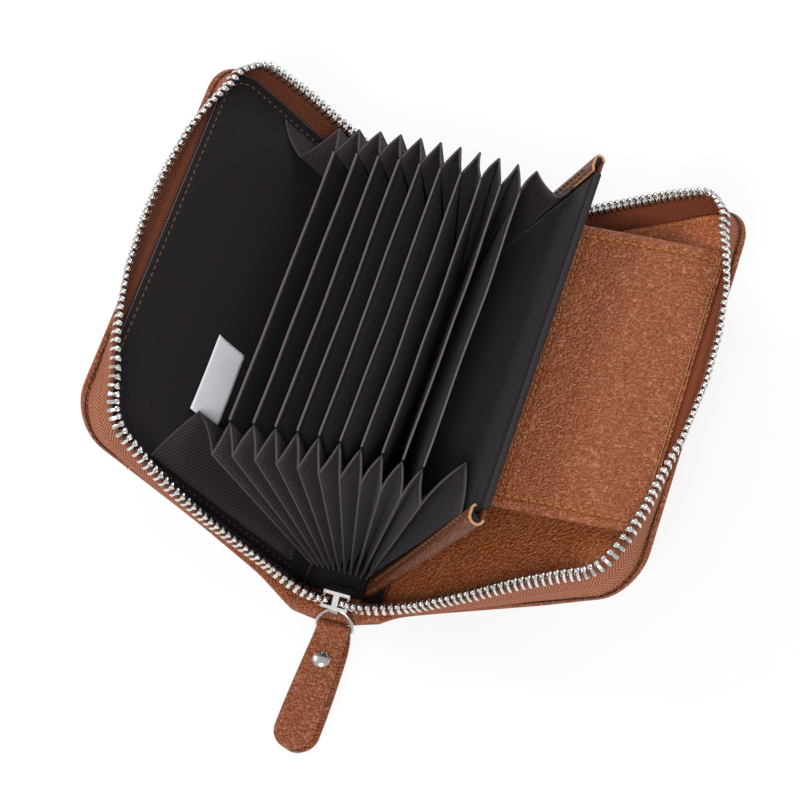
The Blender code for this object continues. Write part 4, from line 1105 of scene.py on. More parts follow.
class ZipStub:
    """The soft end of tape and teeth between a cover's row and the spine."""

    def __init__(self, cover, end):
        row = ZipRow(cover)
        near, across = end == "near", cover.sign
        self.row_root, self.row_up = row.at(0.0 if near else row.total)[:2]
        travel = cover.way(1, 0, 0)
        point, turn, rise = STOP_POINT, Matrix.Identity(3), STOP_HEIGHT
        if near:
            point, turn, rise = SLIDER_POINT, SLIDER_TURN, SLIDER_LENGTH
        self.start = point + turn @ Vector((across * MOUTH_HALF_SPACING, 0, MOUTH_GAP + rise))
        self.end = self.row_root + self.row_up * BEAD_MIDDLE
        pull = (self.end - self.start).length / 3
        self.leave = turn @ Vector((across * MOUTH_SPREAD_SHARE, 0, 1)).normalized() * pull
        self.arrive = travel * pull
        edge = (COVER_LENGTH / 2 - TAPE_INSET) * (-1 if near else 1)
        self.spine_root = Vector((point.x + across * SLIDER_SIDE, edge, STUB_ROOT_HEIGHT))
        reach = (self.row_root - self.spine_root).length / 3
        self.root_leave = Vector((across * reach, 0, 0))
        self.root_arrive = travel * reach
        self.mouth_rise = Vector((-across, 0, 0))
        self.outward = Vector((0, -1 if near else 1, 0))

    def middle(self, share):
        return curve_between(self.start, self.leave, self.end, self.arrive, share)

    def bead(self, share):
        """Middle of the bead, way up the tooth, way along and way through."""
        middle = self.middle(share)
        travel = (self.middle(share + STUB_AHEAD_SHARE) - middle).normalized()
        rise = self.mouth_rise.lerp(self.row_up, share)
        rise = (rise - travel * rise.dot(travel)).normalized()
        through = travel.cross(rise).normalized()
        return middle, rise, travel, through if through.dot(self.outward) > 0 else -through

    def lean(self, share):
        """Lean of the teeth, which starts small at the spine and grows along the run."""
        grown = (1 - STUB_LEAN_SHARE) * min(1.0, share * STUB_LEAN_RUN)
        return tooth_lean(self.outward.y) * (STUB_LEAN_SHARE + grown)

    def tooth(self, share):
        """Root, way up, way along and way through of a tooth."""
        middle, rise, travel, through = self.bead(share)
        root = middle - rise * BEAD_MIDDLE
        root, rise, through = leaned(root, rise, through, self.lean(share))
        return root, rise, travel, through

    def tape_line(self, share):
        """Foot and top of the tape at a share of its run."""
        middle, rise = self.bead(STUB_START_SHARE + (1 - STUB_START_SHARE) * share)[:2]
        foot = curve_between(
            self.spine_root, self.root_leave, self.row_root, self.root_arrive, share
        )
        return foot, middle - rise * (BEAD_MIDDLE - TAPE_WALL)

    def length(self):
        shares = stretch(0.0, 1.0, POINTS["stub_length"])
        return lengths_along([self.middle(share) for share in shares])[-1]


# Leather


def edge_swell(run):
    """How far the hide's near edge swells past the covers' length, in millimetres."""
    places = [run / MM + step for step in SWELL_SMOOTHING]
    return sum(between(EDGE_SWELL, place) for place in places) / len(places)


def hide_at(run, y, h):
    """Place on the hide: run from the spine's middle, round the fold and up a cover."""
    cover = COVERS["left" if run < 0 else "right"]
    half, arc = SPINE_SPAN / 2, cover.rise * FOLD_RADIUS
    past = abs(run) - half
    if past <= 0:
        flat = Vector((run, y, FOLD_RADIUS + h))
    else:
        turn = min(past / FOLD_RADIUS, cover.rise)
        u = max(0.0, past - arc)
        cos, sin = math.cos(turn), math.sin(turn)
        flat = Vector((cover.sign * (half + u * cos - h * sin), y, FOLD_RADIUS + u * sin + h * cos))
    share = (past + FOLD_WINDOW) / (arc + 2 * FOLD_WINDOW)
    if not 0 < share < 1 or h < -HIDE_MIDDLE:
        return flat
    first = Vector((cover.sign * (half - FOLD_WINDOW), y, FOLD_RADIUS + h))
    corner = Vector((cover.sign * (half - h * math.tan(cover.rise / 2)), y, FOLD_RADIUS + h))
    last = cover.at(FOLD_WINDOW, y, h)
    return first * (1 - share) ** 2 + corner * (2 * share * (1 - share)) + last * share**2


def hide_section(run):
    """Closed section of the hide across the spine's length, near edge to far edge."""
    section = []
    for sign, share in ((-1, 1.0), (1, FAR_SWELL_SHARE)):
        grown = edge_swell(run) * share
        side = []
        for inset, height in HIDE_PROFILE:
            y = sign * (COVER_LENGTH / 2 + (grown - inset) * MM)
            h = height * MM
            if h > -HIDE_MIDDLE:
                reach = min(1.0, inset / SWELL_REACH)
                h += math.sin(math.pi * reach**SWELL_POWER) * grown * SWELL_LIFT
            side.append(hide_at(run, y, h))
        section += side if sign < 0 else side[::-1]
    return section


def hide_strip(name, runs):
    return loft_piece(
        name, [hide_section(run) for run in runs], finish_of(leather_finish, SHADE["hide"])
    )


def swollen(cover, u, y):
    """Place along the spine of a point near a cover's rim, moved out with the swell."""
    share = 1.0 if y < 0 else FAR_SWELL_SHARE
    swell = edge_swell(cover.sign * (cover.fold_end + u)) * share * MM
    return y * (1 + 2 * swell / COVER_LENGTH)


def hide_piece(cover):
    """Outer leather of a cover, with its rim turned over the board, and its fold."""
    bm = bmesh.new()
    rings = []
    for inset, height in HIDE_PROFILE:
        line = Rim(inset * MM, HIDE_START).outline()
        rings.append([cover.at(u, swollen(cover, u, y), height * MM) for u, y in line])
    verts = cloth_rows(bm, rings, lambda i, j: (i * MM, j * MM))
    bm.faces.new(verts[0])
    bm.faces.new(list(reversed(verts[-1])))
    bm.faces.new([row[0] for row in verts] + [row[-1] for row in reversed(verts)])
    obj = mesh_piece(cover.name + "_hide", bm, finish_of(leather_finish, SHADE["hide"]))
    slot = cover.name + "_cover_leather"
    settle(obj, slot, cover.body)

    half, fold_end = SPINE_SPAN / 2, cover.fold_end
    runs = stretch(half - FOLD_WINDOW, fold_end + FOLD_WINDOW, POINTS["fold"])
    runs += stretch(fold_end + FOLD_WINDOW, fold_end + HIDE_START, POINTS["hide_start"])[1:]
    fold = hide_strip(cover.name + "_fold_hide", [cover.sign * run for run in runs])
    cover.at(FOLD_WINDOW, 0, -HIDE_MIDDLE)
    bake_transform(fold)


def make_bar_tack():
    """Pale thread across the near rim of the left cover."""
    cover = COVERS["left"]
    line = []
    for inset, height in zip(TACK_INSETS, TACK_HEIGHTS):
        y = swollen(cover, TACK_RUN, inset * MM - COVER_LENGTH / 2)
        line.append(cover.at(TACK_RUN, y, height * MM))
    finish = finish_of(raw_edge_finish, SHADE["tack"])
    tack = cord_piece("bar_tack", [line], TACK_RADIUS, finish, SIDES["tack"])
    settle(tack, "left_cover_leather", "left_cover", False)


def make_spine_hide():
    """Leather of the spine between the two folds, whose ends swell round the slider."""
    reach = SPINE_SPAN / 2 - FOLD_WINDOW
    hide = hide_strip("spine_hide", stretch(-reach, reach, POINTS["spine_hide"]))
    settle(hide, "spine_leather", "holder")


# Linings


def lining_height(cover, u, y):
    """Height of the lining: a raised lip at its edge, a groove at the seam, soft waves."""
    gap = min(COVER_WIDTH - u, COVER_LENGTH / 2 - abs(y))
    corner_u = COVER_WIDTH - CORNER_RADIUS
    corner_y = COVER_LENGTH / 2 - CORNER_RADIUS
    if u > corner_u and abs(y) > corner_y:
        gap = CORNER_RADIUS - math.hypot(u - corner_u, abs(y) - corner_y)
    seam = SEAM_INSET[cover.name]
    lip = LIP_HEIGHT * bell(gap - (seam + LINING_EDGE_INSET) / 2, LIP_SPREAD)
    groove = SEAM_GROOVE * bell(gap - seam, SEAM_GROOVE_SPREAD)
    inside = min(1.0, max(0.0, (gap - seam) / CUSHION_BAND))
    waves = wave(cover.name + "_lining", u, y) + wave("lining_ripple", u, y)
    return LINING_HEIGHT + lip - groove + inside * (CUSHION_HEIGHT + waves)


def lining_limit(u):
    """Half length of the lining at a distance from the fold."""
    corner = COVER_WIDTH - CORNER_RADIUS
    if u <= corner:
        return COVER_LENGTH / 2 - LINING_EDGE_INSET
    radius = CORNER_RADIUS - LINING_EDGE_INSET
    past = min(radius, u - corner)
    return COVER_LENGTH / 2 - CORNER_RADIUS + math.sqrt(max(0.0, radius**2 - past**2))


def lining_piece(cover, finish, name):
    """Lining of a cover, and on the left one its label."""
    end = COVER_WIDTH - LINING_EDGE_INSET
    us = stretch(LINING_START, end - LINING_FINE_BAND, POINTS["lining"])
    us += stretch(end - LINING_FINE_BAND, end, POINTS["lining_edge"])[1:]
    even = stretch(-1.0, 1.0, POINTS["lining_row"])
    shares = [math.copysign(abs(s) ** LINING_ROW_POWER, s) for s in even]
    places = [[(u, lining_limit(u) * s) for s in shares] for u in us]
    rows = [[cover.at(u, y, lining_height(cover, u, y)) for u, y in line] for line in places]
    obj = cloth_piece(name, rows, lambda i, j: places[i][j], finish)
    if cover.name == "left":
        label = label_piece(cover)
        as_sheet(obj, COVER_LENGTH)
        thicken(label, LABEL_CLOTH)
    thicken(obj, LINING_CLOTH[cover.name])
    return settle(obj, cover.name + "_cover_lining", cover.body)


def label_piece(cover):
    """Bare ribbon sewn on the left lining, its near end under the gusset's first fold."""
    xs, ys = grid_lines("label", (0.0, LABEL_WIDTH), (0.0, LABEL_LENGTH))
    rows = []
    for x in xs:
        row = []
        for y in ys:
            curl = LABEL_CURL * (x / LABEL_WIDTH) ** 3
            curl += LABEL_WAVE * math.sin(y / LABEL_WAVE_LENGTH)
            u, v = LABEL_PLACE[0] + x, LABEL_PLACE[1] + y
            row.append(cover.at(u, v, lining_height(cover, u, v) + LABEL_OVER + abs(curl)))
        rows.append(row)
    finish = finish_of(label_finish)
    obj = cloth_piece("label_ribbon", rows, lambda i, j: (xs[i], ys[j]), finish)
    return settle(obj, "label", cover.body)


def binding_piece(cover):
    """Satin strip bound over the lining's edge, with a thin pale line beside the tape."""
    slot = cover.name + "_cover_lining"
    rim = Rim(BINDING_LINE_INSET, BINDING_START)
    marks = rim.marks(RIM_TRIM_STEP)
    rings = []
    for distance in marks:
        ring = []
        for inset, height in BINDING_PROFILE:
            inner = Rim(inset * MM, BINDING_START)
            u, y = inner.at(distance / rim.total * inner.total)[0]
            h = height * MM
            if height > BINDING_RIPPLE_FROM:
                h += wave("binding", distance, inset * MM)
            ring.append(cover.at(u, y, h))
        rings.append(ring)
    finish = finish_of(lining_finish, 90.0, SHADE["binding"])
    settle(loft_piece(cover.name + "_binding", rings, finish), slot, cover.body, False)
    line = [cover.at(*rim.at(distance)[0], BINDING_LINE_HEIGHT) for distance in marks]
    finish = finish_of(bound_edge_finish, SHADE["binding_line"])
    cord = cord_piece(cover.name + "_binding_line", [line], BINDING_LINE_RADIUS, finish)
    settle(cord, slot, cover.body, False)


def seam_path(cover):
    """Line of the lining's seam and the way up from it."""
    rim = Rim(SEAM_INSET[cover.name], SEAM_START)
    path = []
    for distance in rim.marks(RIM_TRIM_STEP):
        u, y = rim.at(distance)[0]
        path.append(cover.at(u, y, lining_height(cover, u, y) + SEAM_OVER))
    return path, [cover.way(0, 0, 1)] * len(path)


def make_spine_cloth():
    """Strip on the spine that the accordion is sewn to."""
    low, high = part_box("spine_lining")
    low, high = low - SPINE_CLOTH_GROWTH, high + SPINE_CLOTH_GROWTH
    xs, ys = grid_lines("spine_cloth", (low.x, high.x), (low.y, high.y))
    rows = []
    for x in xs:
        rows.append([Vector((x, y, high.z + wave("spine_cloth", x, y))) for y in ys])
    finish = finish_of(lining_finish, 45.0, SHADE["spine_cloth"])
    obj = cloth_piece("spine_cloth", rows, lambda i, j: (xs[i], ys[j]), finish)
    as_sheet(obj, high.y - low.y)
    settle(thicken(obj, CLOTH), "spine_lining", "holder")


# Zip


def tape_bow(lean, share):
    """How far the wall of the tape bows outward between its foot and its top."""
    return TAPE_BOW * lean * math.sin(math.pi * share**TAPE_BOW_POWER)


def tape_sides(obj, place, through, tint):
    """Woven finishes of a tape: its outside lightened as painted light, its inside darkened to a
    dark red brown as painted shade.
    """
    inside, outside = finish_of(tape_finish, tint), finish_of(tape_finish, TAPE_OUTSIDE_PAINTED_LIGHT)
    face = min(obj.data.polygons, key=lambda one: (one.center - place).length)
    towards = face.normal.dot(through) > 0
    for finish in (outside, inside) if towards else (inside, outside):
        obj.data.materials.append(finish)
    thicken(obj, TAPE).modifiers["thickness"].material_offset = 1


def tape_piece(cover, ends):
    """Tape of one cover: its foot lies under the lining and its wall bows outward."""
    row = ZipRow(cover)
    marks = row.rim.marks(TAPE_STEP)
    foot = stretch(-TAPE_FOOT, -TAPE_FOOT / 4, POINTS["tape_foot"])
    wall = stretch(0.0, TAPE_WALL, POINTS["tape_wall"])
    rows = []
    for distance in marks:
        root, up, through = row.at(distance)
        du, dy = row.rim.at(distance)[1]
        outward = cover.way(du, dy, 0)
        ripple = wave(cover.name + "_tape", distance, 0.0)
        line = [root + outward * s + cover.way(0, 0, TAPE_FOOT_LIFT) for s in foot]
        for s in wall:
            share = s / TAPE_WALL
            bow = tape_bow(tooth_lean(dy), share) + ripple * share
            line.append(root + up * s + through * bow)
        rows.append(line)
    obj = cloth_piece(cover.name + "_tape", rows, lambda i, j: (marks[i], (foot + wall)[j]))
    as_sheet(obj, row.total)
    root, up, through = row.at(marks[len(marks) // 2])
    tape_sides(obj, root + up * (TAPE_WALL / 2), through, TAPE_INSIDE_PAINTED_SHADE[cover.name])
    settle(obj, cover.name + "_zip_tape", cover.body)


def tooth_box(bm, root, up, travel, through, sections, shift):
    """One bar of a tooth, with cut corners."""
    rings = []
    for height, wide, thick in sections:
        cut = TOOTH_CORNER_SHARE * min(wide, thick)
        ring = []
        for sx, sy in ((1, 1), (-1, 1), (-1, -1), (1, -1)):
            pair = ((sx * (wide - cut), sy * thick), (sx * wide, sy * (thick - cut)))
            ring += pair if sx * sy < 0 else pair[::-1]
        rings.append(
            [root + (up * height + travel * a + through * (b + shift)) * MM for a, b in ring]
        )
    ring_loft(bm, rings)


def add_tooth(bm, root, up, travel, through):
    """One metal tooth: two legs clamped on the tape, a neck and a round cupped head."""
    tooth_box(bm, root, up, travel, through, NECK_SECTIONS, 0.0)
    for side in (1, -1):
        tooth_box(bm, root, up, travel, through, LEG_SECTIONS, side * LEG_OUT)
    rings = []
    for radius, place in HEAD_PROFILE:
        centre = root + (up * HEAD_HEIGHT + through * place) * MM
        rings.append(circle(centre, travel * (radius * MM), up * (radius * MM), SIDES["tooth_head"]))
    ring_loft(bm, rings)


def teeth_piece(cover):
    """Teeth of one cover, each tilted a little by chance."""
    row = ZipRow(cover)
    count = round(row.total / sizes().tooth_pitch)
    bm = bmesh.new()
    for i in range(count):
        distance = row.total / count * (i + 0.5)
        ahead = row.at(min(row.total, distance + TRAVEL_REACH))[0]
        travel = (ahead - row.at(distance - TRAVEL_REACH)[0]).normalized()
        tilt = random.Random(i * 2 + cover.sign).uniform(-TOOTH_TILT, TOOTH_TILT)
        root, up, through = row.leaned_at(distance)
        add_tooth(bm, root, up, (travel + up * tilt).normalized(), through)
    obj = mesh_piece(cover.name + "_teeth", bm, finish_of(nickel_finish, METAL_ROUGH["teeth"]))
    settle(obj, cover.name + "_zip_teeth", cover.body)


def tape_trim(cover):
    """Cord in the tape's top edge, and a dark cord between the tape and the hide's rim that is
    painted shadow.
    """
    row = ZipRow(cover)
    bead, gap = [], []
    for distance in row.rim.marks(BEAD_STEP):
        root, up = row.leaned_at(distance)[:2]
        bead.append(root + up * (TAPE_WALL + BEAD_OVER_TAPE))
        (u, y), (du, dy) = row.rim.at(distance)
        gap.append(cover.at(u + du * SHADOW_LINE_OUT, y + dy * SHADOW_LINE_OUT, 0.0))
    # The dark cord beside the rim is painted shadow between the tape and the hide
    for name, line, radius, finish in (
        ("_rim_gap", gap, SHADOW_LINE_RADIUS, finish_of(leather_finish, SHADE["rim_gap"])),
        # The bead's darker tint is painted shade between the teeth
        ("_bead", bead, BEAD_RADIUS, finish_of(tape_finish, BEAD_PAINTED_SHADE)),
    ):
        piece = cord_piece(cover.name + name, [line], radius, finish, SIDES["tape_cord"])
        settle(piece, cover.name + "_zip_tape", cover.body, False)


def stub_pieces(cover, end):
    """Soft tape end and its teeth, which bend between the spine and the cover."""
    stub = ZipStub(cover, end)
    name = end + "_" + cover.name
    fold = Vector((cover.sign * SPINE_SPAN / 2, 0, FOLD_RADIUS))
    before = fold - cover.way(STUB_BEND_BEFORE, 0, 0)
    after = fold + cover.way(STUB_BEND_AFTER, 0, 0)
    shares, steps = (stretch(0.0, 1.0, POINTS[one]) for one in ("stub", "stub_wall"))
    rows, heights = [], []
    for share in shares:
        foot, top = stub.tape_line(share)
        through = stub.bead(share)[3]
        heights.append((top - foot).length)
        lean = stub.lean(share)
        rows.append([foot.lerp(top, s) + through * tape_bow(lean, s) for s in steps])
    run = lengths_along([row[0] for row in rows])
    tape = cloth_piece(name + "_tape", rows, lambda i, j: (run[i], heights[i] * steps[j]))
    middle = rows[len(rows) // 2][len(steps) // 2]
    tape_sides(tape, middle, stub.outward, TAPE_INSIDE_PAINTED_SHADE[cover.name])

    bm = bmesh.new()
    count = max(STUB_LEAST_TEETH, round(stub.length() / STUB_PITCH))
    for i in range(count):
        add_tooth(bm, *stub.tooth((i + 0.5) / count))
    bead = []
    for share in shares:
        root, rise = stub.tooth(share)[:2]
        bead.append(root + rise * (TAPE_WALL + BEAD_OVER_TAPE))
    ring_loft(bm, tube_rings(bead, STUB_BEAD_RADIUS, SIDES["tape_cord"]), finish_index=1)
    # The bead's darker tint is painted shade between the teeth
    finishes = finish_of(nickel_finish, METAL_ROUGH["teeth"]), finish_of(tape_finish, BEAD_PAINTED_SHADE)
    teeth = mesh_piece(name + "_teeth", bm, *finishes)
    for piece, node in ((tape, name + "_tape_end"), (teeth, name + "_chain_end")):
        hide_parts(node)
        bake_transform(piece)
    return tape


# Accordion


def divider_root(index):
    return END_ROOT - END_SPACING - (DIVIDER_COUNT - 1 - index) * DIVIDER_ROOT_PITCH


def divider_lean(index):
    return FIRST_LEAN + (LAST_LEAN - FIRST_LEAN) * (index / (DIVIDER_COUNT - 1)) ** FAN_POWER_SHARE


class Leaf:
    """Places on a panel that leans about its root: y, s up the panel, t through it."""

    def __init__(self, root, lean):
        self.root = root
        self.up = Vector((math.sin(lean), 0, math.cos(lean)))
        self.out = Vector((math.cos(lean), 0, -math.sin(lean)))

    def at(self, y, s, t=0.0):
        return Vector((self.root, y, ROOT_HEIGHT)) + self.up * s + self.out * t


END_WALL = Leaf(END_ROOT, END_LEAN)


def divider_leaf(index):
    return Leaf(divider_root(index), divider_lean(index))


def bow_of(index, y, s):
    """How far a divider's cloth bows out of its plane."""
    share = s / DIVIDER_DEPTH
    across = max(0.0, 1 - (2 * y / DIVIDER_LENGTH) ** 2)
    return (wave("divider", y, s, index) * share + DIVIDER_BOW) * share * across


def make_divider(index):
    """One fabric divider with its bound top edge."""
    leaf = divider_leaf(index)
    name = "divider_%02d" % (index + 1)
    half = DIVIDER_LENGTH / 2
    top = DIVIDER_DEPTH - DIVIDER_CLOTH_HEAD
    ys, ss = grid_lines("divider", (-half, half), (DIVIDER_CLOTH_FOOT, top))
    rows = [[leaf.at(y, s, bow_of(index, y, s)) for y in ys] for s in ss]
    # The dividers' lining is darkened as painted shade
    finish = finish_of(lining_finish, 45.0, SHADE["divider"])
    panel = cloth_piece(name + "_cloth", rows, lambda i, j: (ys[j], ss[i]), finish)
    as_sheet(panel, DIVIDER_LENGTH)
    settle(thicken(panel, CLOTH), name, name)
    thick, high = leaf.out * HEM_HALF_THICKNESS, leaf.up * HEM_HALF_HEIGHT
    rings = []
    for y in ys:
        middle = leaf.at(y, DIVIDER_DEPTH - HEM_DROP, bow_of(index, y, DIVIDER_DEPTH))
        rings.append(circle(middle, thick, high, SIDES["divider_hem"]))
    hem = loft_piece(name + "_hem", rings, finish_of(bound_edge_finish, SHADE["divider_hem"]))
    settle(hem, name, name, False)


def pleat_rows(lines, bulges):
    """Rows between fold lines given as (foot, top); the cloth bows a little between folds."""
    rows = []
    steps = POINTS["pleat"]
    for (foot_a, top_a), (foot_b, top_b), bulge in zip(lines, lines[1:], bulges):
        for i in range(1 if rows else 0, steps + 1):
            share = i / steps
            row = []
            for s in stretch(0.0, 1.0, POINTS["pleat_up"]):
                a, b = foot_a.lerp(top_a, s), foot_b.lerp(top_b, s)
                side = (b - a).cross(top_a - foot_a).normalized()
                row.append(a.lerp(b, share) + side * (bulge * math.sin(math.pi * share) * s))
            rows.append(row)
    return rows


def pleat_piece(name, lines, bulges, ridges, body, axis, anchor):
    """One pleat, its bound top edge and rounded folds at its ridges, pale as painted highlights,
    closing with a fold.
    """
    rows = pleat_rows(lines, bulges)
    run = lengths_along([row[-1] for row in rows])
    # The pleats' lining is lightened as painted light
    cloth = cloth_piece(
        name, rows, lambda i, j: (run[i], (rows[i][j] - rows[i][0]).length),
        finish_of(lining_finish, 52.0, SHADE["pleat"], PLEAT_TWILL),
    )
    # The top edge is a bound edge; the pale cords on the ridges are painted highlights
    edges = [[row[-1] for row in rows], *(rows[ridge] for ridge in ridges)]
    finish = finish_of(bound_edge_finish, SHADE["pleat_edge"])
    trim = cord_piece(name + "_edge", edges, PLEAT_EDGE_RADIUS, finish)
    for piece in (cloth, trim):
        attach(piece, body)
        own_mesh(piece)
    return thicken(cloth, PLEAT_CLOTH)


def fan_lines(sign):
    """Fold lines of one gusset from divider to divider, as the model has them."""
    roots = [divider_root(index) for index in range(DIVIDER_COUNT)]
    leans = [divider_lean(index) for index in range(DIVIDER_COUNT)]
    half = DIVIDER_ROOT_PITCH / 2
    folds = [Leaf(roots[0] - half, leans[0] - OUTER_FOLD_LEAN)]
    for i in range(DIVIDER_COUNT - 1):
        folds.append(Leaf((roots[i] + roots[i + 1]) / 2, (leans[i] + leans[i + 1]) / 2))
    folds.append(Leaf(roots[-1] + half, leans[-1] + OUTER_FOLD_LEAN))

    def line(leaf, reach, top):
        return leaf.at(sign * reach, PLEAT_FOOT), leaf.at(sign * reach, top)

    tips = [line(leaf, PLEAT_TIP, PLEAT_TIP_TOP) for leaf in folds]
    inners = [line(Leaf(*pair), PLEAT_INNER, PLEAT_TOP) for pair in zip(roots, leans)]
    return tips, inners


def make_pleats(end):
    """One gusset: a pleat at every divider and a deep fold at both sides."""
    sign = -1 if end == "near" else 1
    tips, inners = fan_lines(sign)
    deep = sign * DEEP_FOLD[end]
    for index in range(DIVIDER_COUNT):
        wobble = random.Random(index * 3 + sign)
        leaf = divider_leaf(index)
        cloth = pleat_piece(
            "%s_pleat_%02d" % (end, index + 1), [tips[index], inners[index], tips[index + 1]],
            [wobble.uniform(low, high) * MM * sign for low, high in PLEAT_BULGES], [0],
            "divider_%02d" % (index + 1),
            leaf.out, leaf.at(0, 0),
        )
        if index == 0:
            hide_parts(end + "_gusset")
    left, low, sewn = COVERS["left"], LEFT_FOLD_HEIGHT, sign * PLEAT_SEWN
    lines = [
        (left.at(LEFT_FOLD_START, sewn, low), left.at(LEFT_FOLD_SEWN_END, sewn, low)),
        (left.at(LEFT_FOLD_START, deep, low + LEFT_FOLD_INNER_LIFT),
         left.at(LEFT_FOLD_INNER_END, deep, LEFT_FOLD_INNER_RISE)),
        tips[0],
    ]
    pleat_piece(
        end + "_left_fold", lines, [bulge * MM * sign for bulge in LEFT_FOLD_BULGES], [],
        "left_cover", left.way(0, 0, 1), left.at(0, 0, low),
    )
    face = -END_THICKNESS / 2 - RIGHT_FOLD_OFF_WALL
    sewn = sign * (END_TURNED - RIGHT_FOLD_HEM_GAP)
    lines = [
        tips[-1],
        (END_WALL.at(deep, RIGHT_FOLD_START, face),
         END_WALL.at(deep, PLEAT_TIP_TOP, face - RIGHT_FOLD_DEPTH)),
        (END_WALL.at(sewn, RIGHT_FOLD_START, face), END_WALL.at(sewn, PLEAT_TOP, face)),
    ]
    pleat_piece(
        end + "_right_fold", lines, [bulge * MM * sign for bulge in RIGHT_FOLD_BULGES], [0],
        "end_divider", END_WALL.out, END_WALL.at(0, 0, face),
    )


# Leather end divider


def turned_end(sign, share):
    """Section (x, y) of one turned end, raw edge first; the roll opens towards its top."""
    end = END_LENGTH / 2
    roll = END_OUTER + HEM_OPENING[sign] * share**HEM_OPENING_POWER
    points = [(END_OUTER - 2 * roll + HEM_DIP * share, sign * END_TURNED)]
    for s in HEM_FLAT_SHARES:
        y = END_TURNED + (END_HEM_WIDTH - roll) * s
        points.append((END_OUTER - 2 * roll, sign * y))
    for turn in stretch(math.pi, 0.0, POINTS["hem_roll"]):
        y = end - roll + roll * math.sin(turn)
        points.append((END_OUTER - roll + roll * math.cos(turn), sign * y))
    return points


def end_divider_hide(heights):
    """Leather of the wall with both ends turned back."""
    face = END_LENGTH / 2 - END_FACE_INSET
    faces = [(END_OUTER, y) for y in stretch(-face, face, POINTS["end_face"])]
    rows = []
    for s in heights:
        share = s / END_DEPTH
        profile = turned_end(-1, share) + faces + turned_end(1, share)[::-1]
        row = []
        for x, y in profile:
            if x > 0:
                x += wave("end_hide", y, s) * share
            row.append(END_WALL.at(y, s, x))
        rows.append(row)
    run = lengths_along([Vector(point) for point in profile])
    # The end divider's leather is darkened as painted shade
    finish = finish_of(leather_finish, SHADE["end_hide"])
    obj = cloth_piece("end_divider_hide", rows, lambda i, j: (run[j], heights[i]), finish)
    settle(thicken(obj, END_SKIN), "end_divider_leather", "end_divider")


def end_divider_hems(heights):
    """Raw tan edge of both hems, and the cloth that shows in their open tops."""
    raw, fill = bmesh.new(), bmesh.new()
    for sign in (-1, 1):
        edge = [(s, turned_end(sign, s / END_DEPTH)[0]) for s in heights]
        line = [END_WALL.at(y, s, x) for s, (x, y) in edge]
        ring_loft(raw, tube_rings(line, RAW_EDGE_RADIUS, SIDES["raw_edge"]))
        top = turned_end(sign, 1.0)
        line = [END_WALL.at(y, END_DEPTH - RAW_TOP_DROP, x) for x, y in top]
        ring_loft(raw, tube_rings(line, RAW_TOP_RADIUS, SIDES["raw_top"]))
        middle = sum((Vector(point) for point in top[1:]), Vector((0, 0))) / (len(top) - 1)
        rings = []
        for s, size in HEM_FILL_SHARES:
            section = [middle.lerp(Vector(p), size) for p in turned_end(sign, s / END_DEPTH)[1:]]
            rings.append([END_WALL.at(point.y, s, point.x) for point in section])
        ring_loft(fill, rings)
    finish = finish_of(lining_finish, 45.0, SHADE["hem_fill"])
    for piece in (
        mesh_piece("end_divider_raw_edge", raw, finish_of(raw_edge_finish)),
        mesh_piece("end_divider_hem_fill", fill, finish),
    ):
        settle(piece, "end_divider_leather", "end_divider", False)


def end_divider_lining():
    """Fabric on the accordion side, and its folded top edge."""
    width, inner = END_TURNED - END_CLOTH_GAP, END_CLOTH_IN - END_OUTER
    top = END_DEPTH - END_CLOTH_HEAD
    ys, ss = grid_lines("end_cloth", (-width, width), (END_CLOTH_FOOT, top))
    rows = []
    for s in ss:
        bows = [abs(wave("end_cloth", y, s)) * s / END_DEPTH for y in ys]
        rows.append([END_WALL.at(y, s, inner - bow) for y, bow in zip(ys, bows)])
    finish = finish_of(lining_finish, 45.0, SHADE["end_cloth"])
    cloth = cloth_piece("end_divider_cloth", rows, lambda i, j: (ys[j], ss[i]), finish)
    as_sheet(cloth, 2 * width)
    settle(thicken(cloth, CLOTH), "end_divider_lining", "end_divider")
    section = []
    for point in circle(Vector((0, 0)), Vector((1, 0)), Vector((0, 1)), SIDES["end_edge"]):
        x = END_EDGE_OFFSET + END_EDGE_ROLL[point.x > 0] * point.x
        section.append((END_DEPTH - RAW_TOP_DROP + END_EDGE_RISE * point.y, x))
    rings = [[END_WALL.at(y, s, x) for s, x in section] for y in ys]
    finish = finish_of(bound_edge_finish, SHADE["end_edge"])
    edge = loft_piece("end_divider_edge", rings, finish)
    settle(edge, "end_divider_lining", "end_divider", False)


def end_divider_stitches():
    """Seams that hold the two hems."""
    runs = []
    for sign in (-1, 1):
        path = []
        for s in stretch(END_STITCH_FOOT, END_DEPTH - END_STITCH_HEAD, POINTS["end_stitches"]):
            x, y = turned_end(sign, s / END_DEPTH)[2]
            path.append(END_WALL.at(y, s, x - END_SKIN / 2 - END_STITCH_OVER))
        runs.append((path, [-END_WALL.out] * len(path)))
    shade = SHADE["end_stitches"]
    stitch_piece("end_divider_stitches", runs, "end_divider_leather", "end_divider", shade)


# Slip pocket


def panel_at(x, y, h):
    """Place on the slip pocket panel: x from the seam, y along, h through."""
    cos, sin = math.cos(PANEL_LIFT), math.sin(PANEL_LIFT)
    rise = PANEL_SEAM_HEIGHT + x * sin + h * cos
    return COVERS["right"].at(PANEL_SEAM - x * cos + h * sin, y, rise)


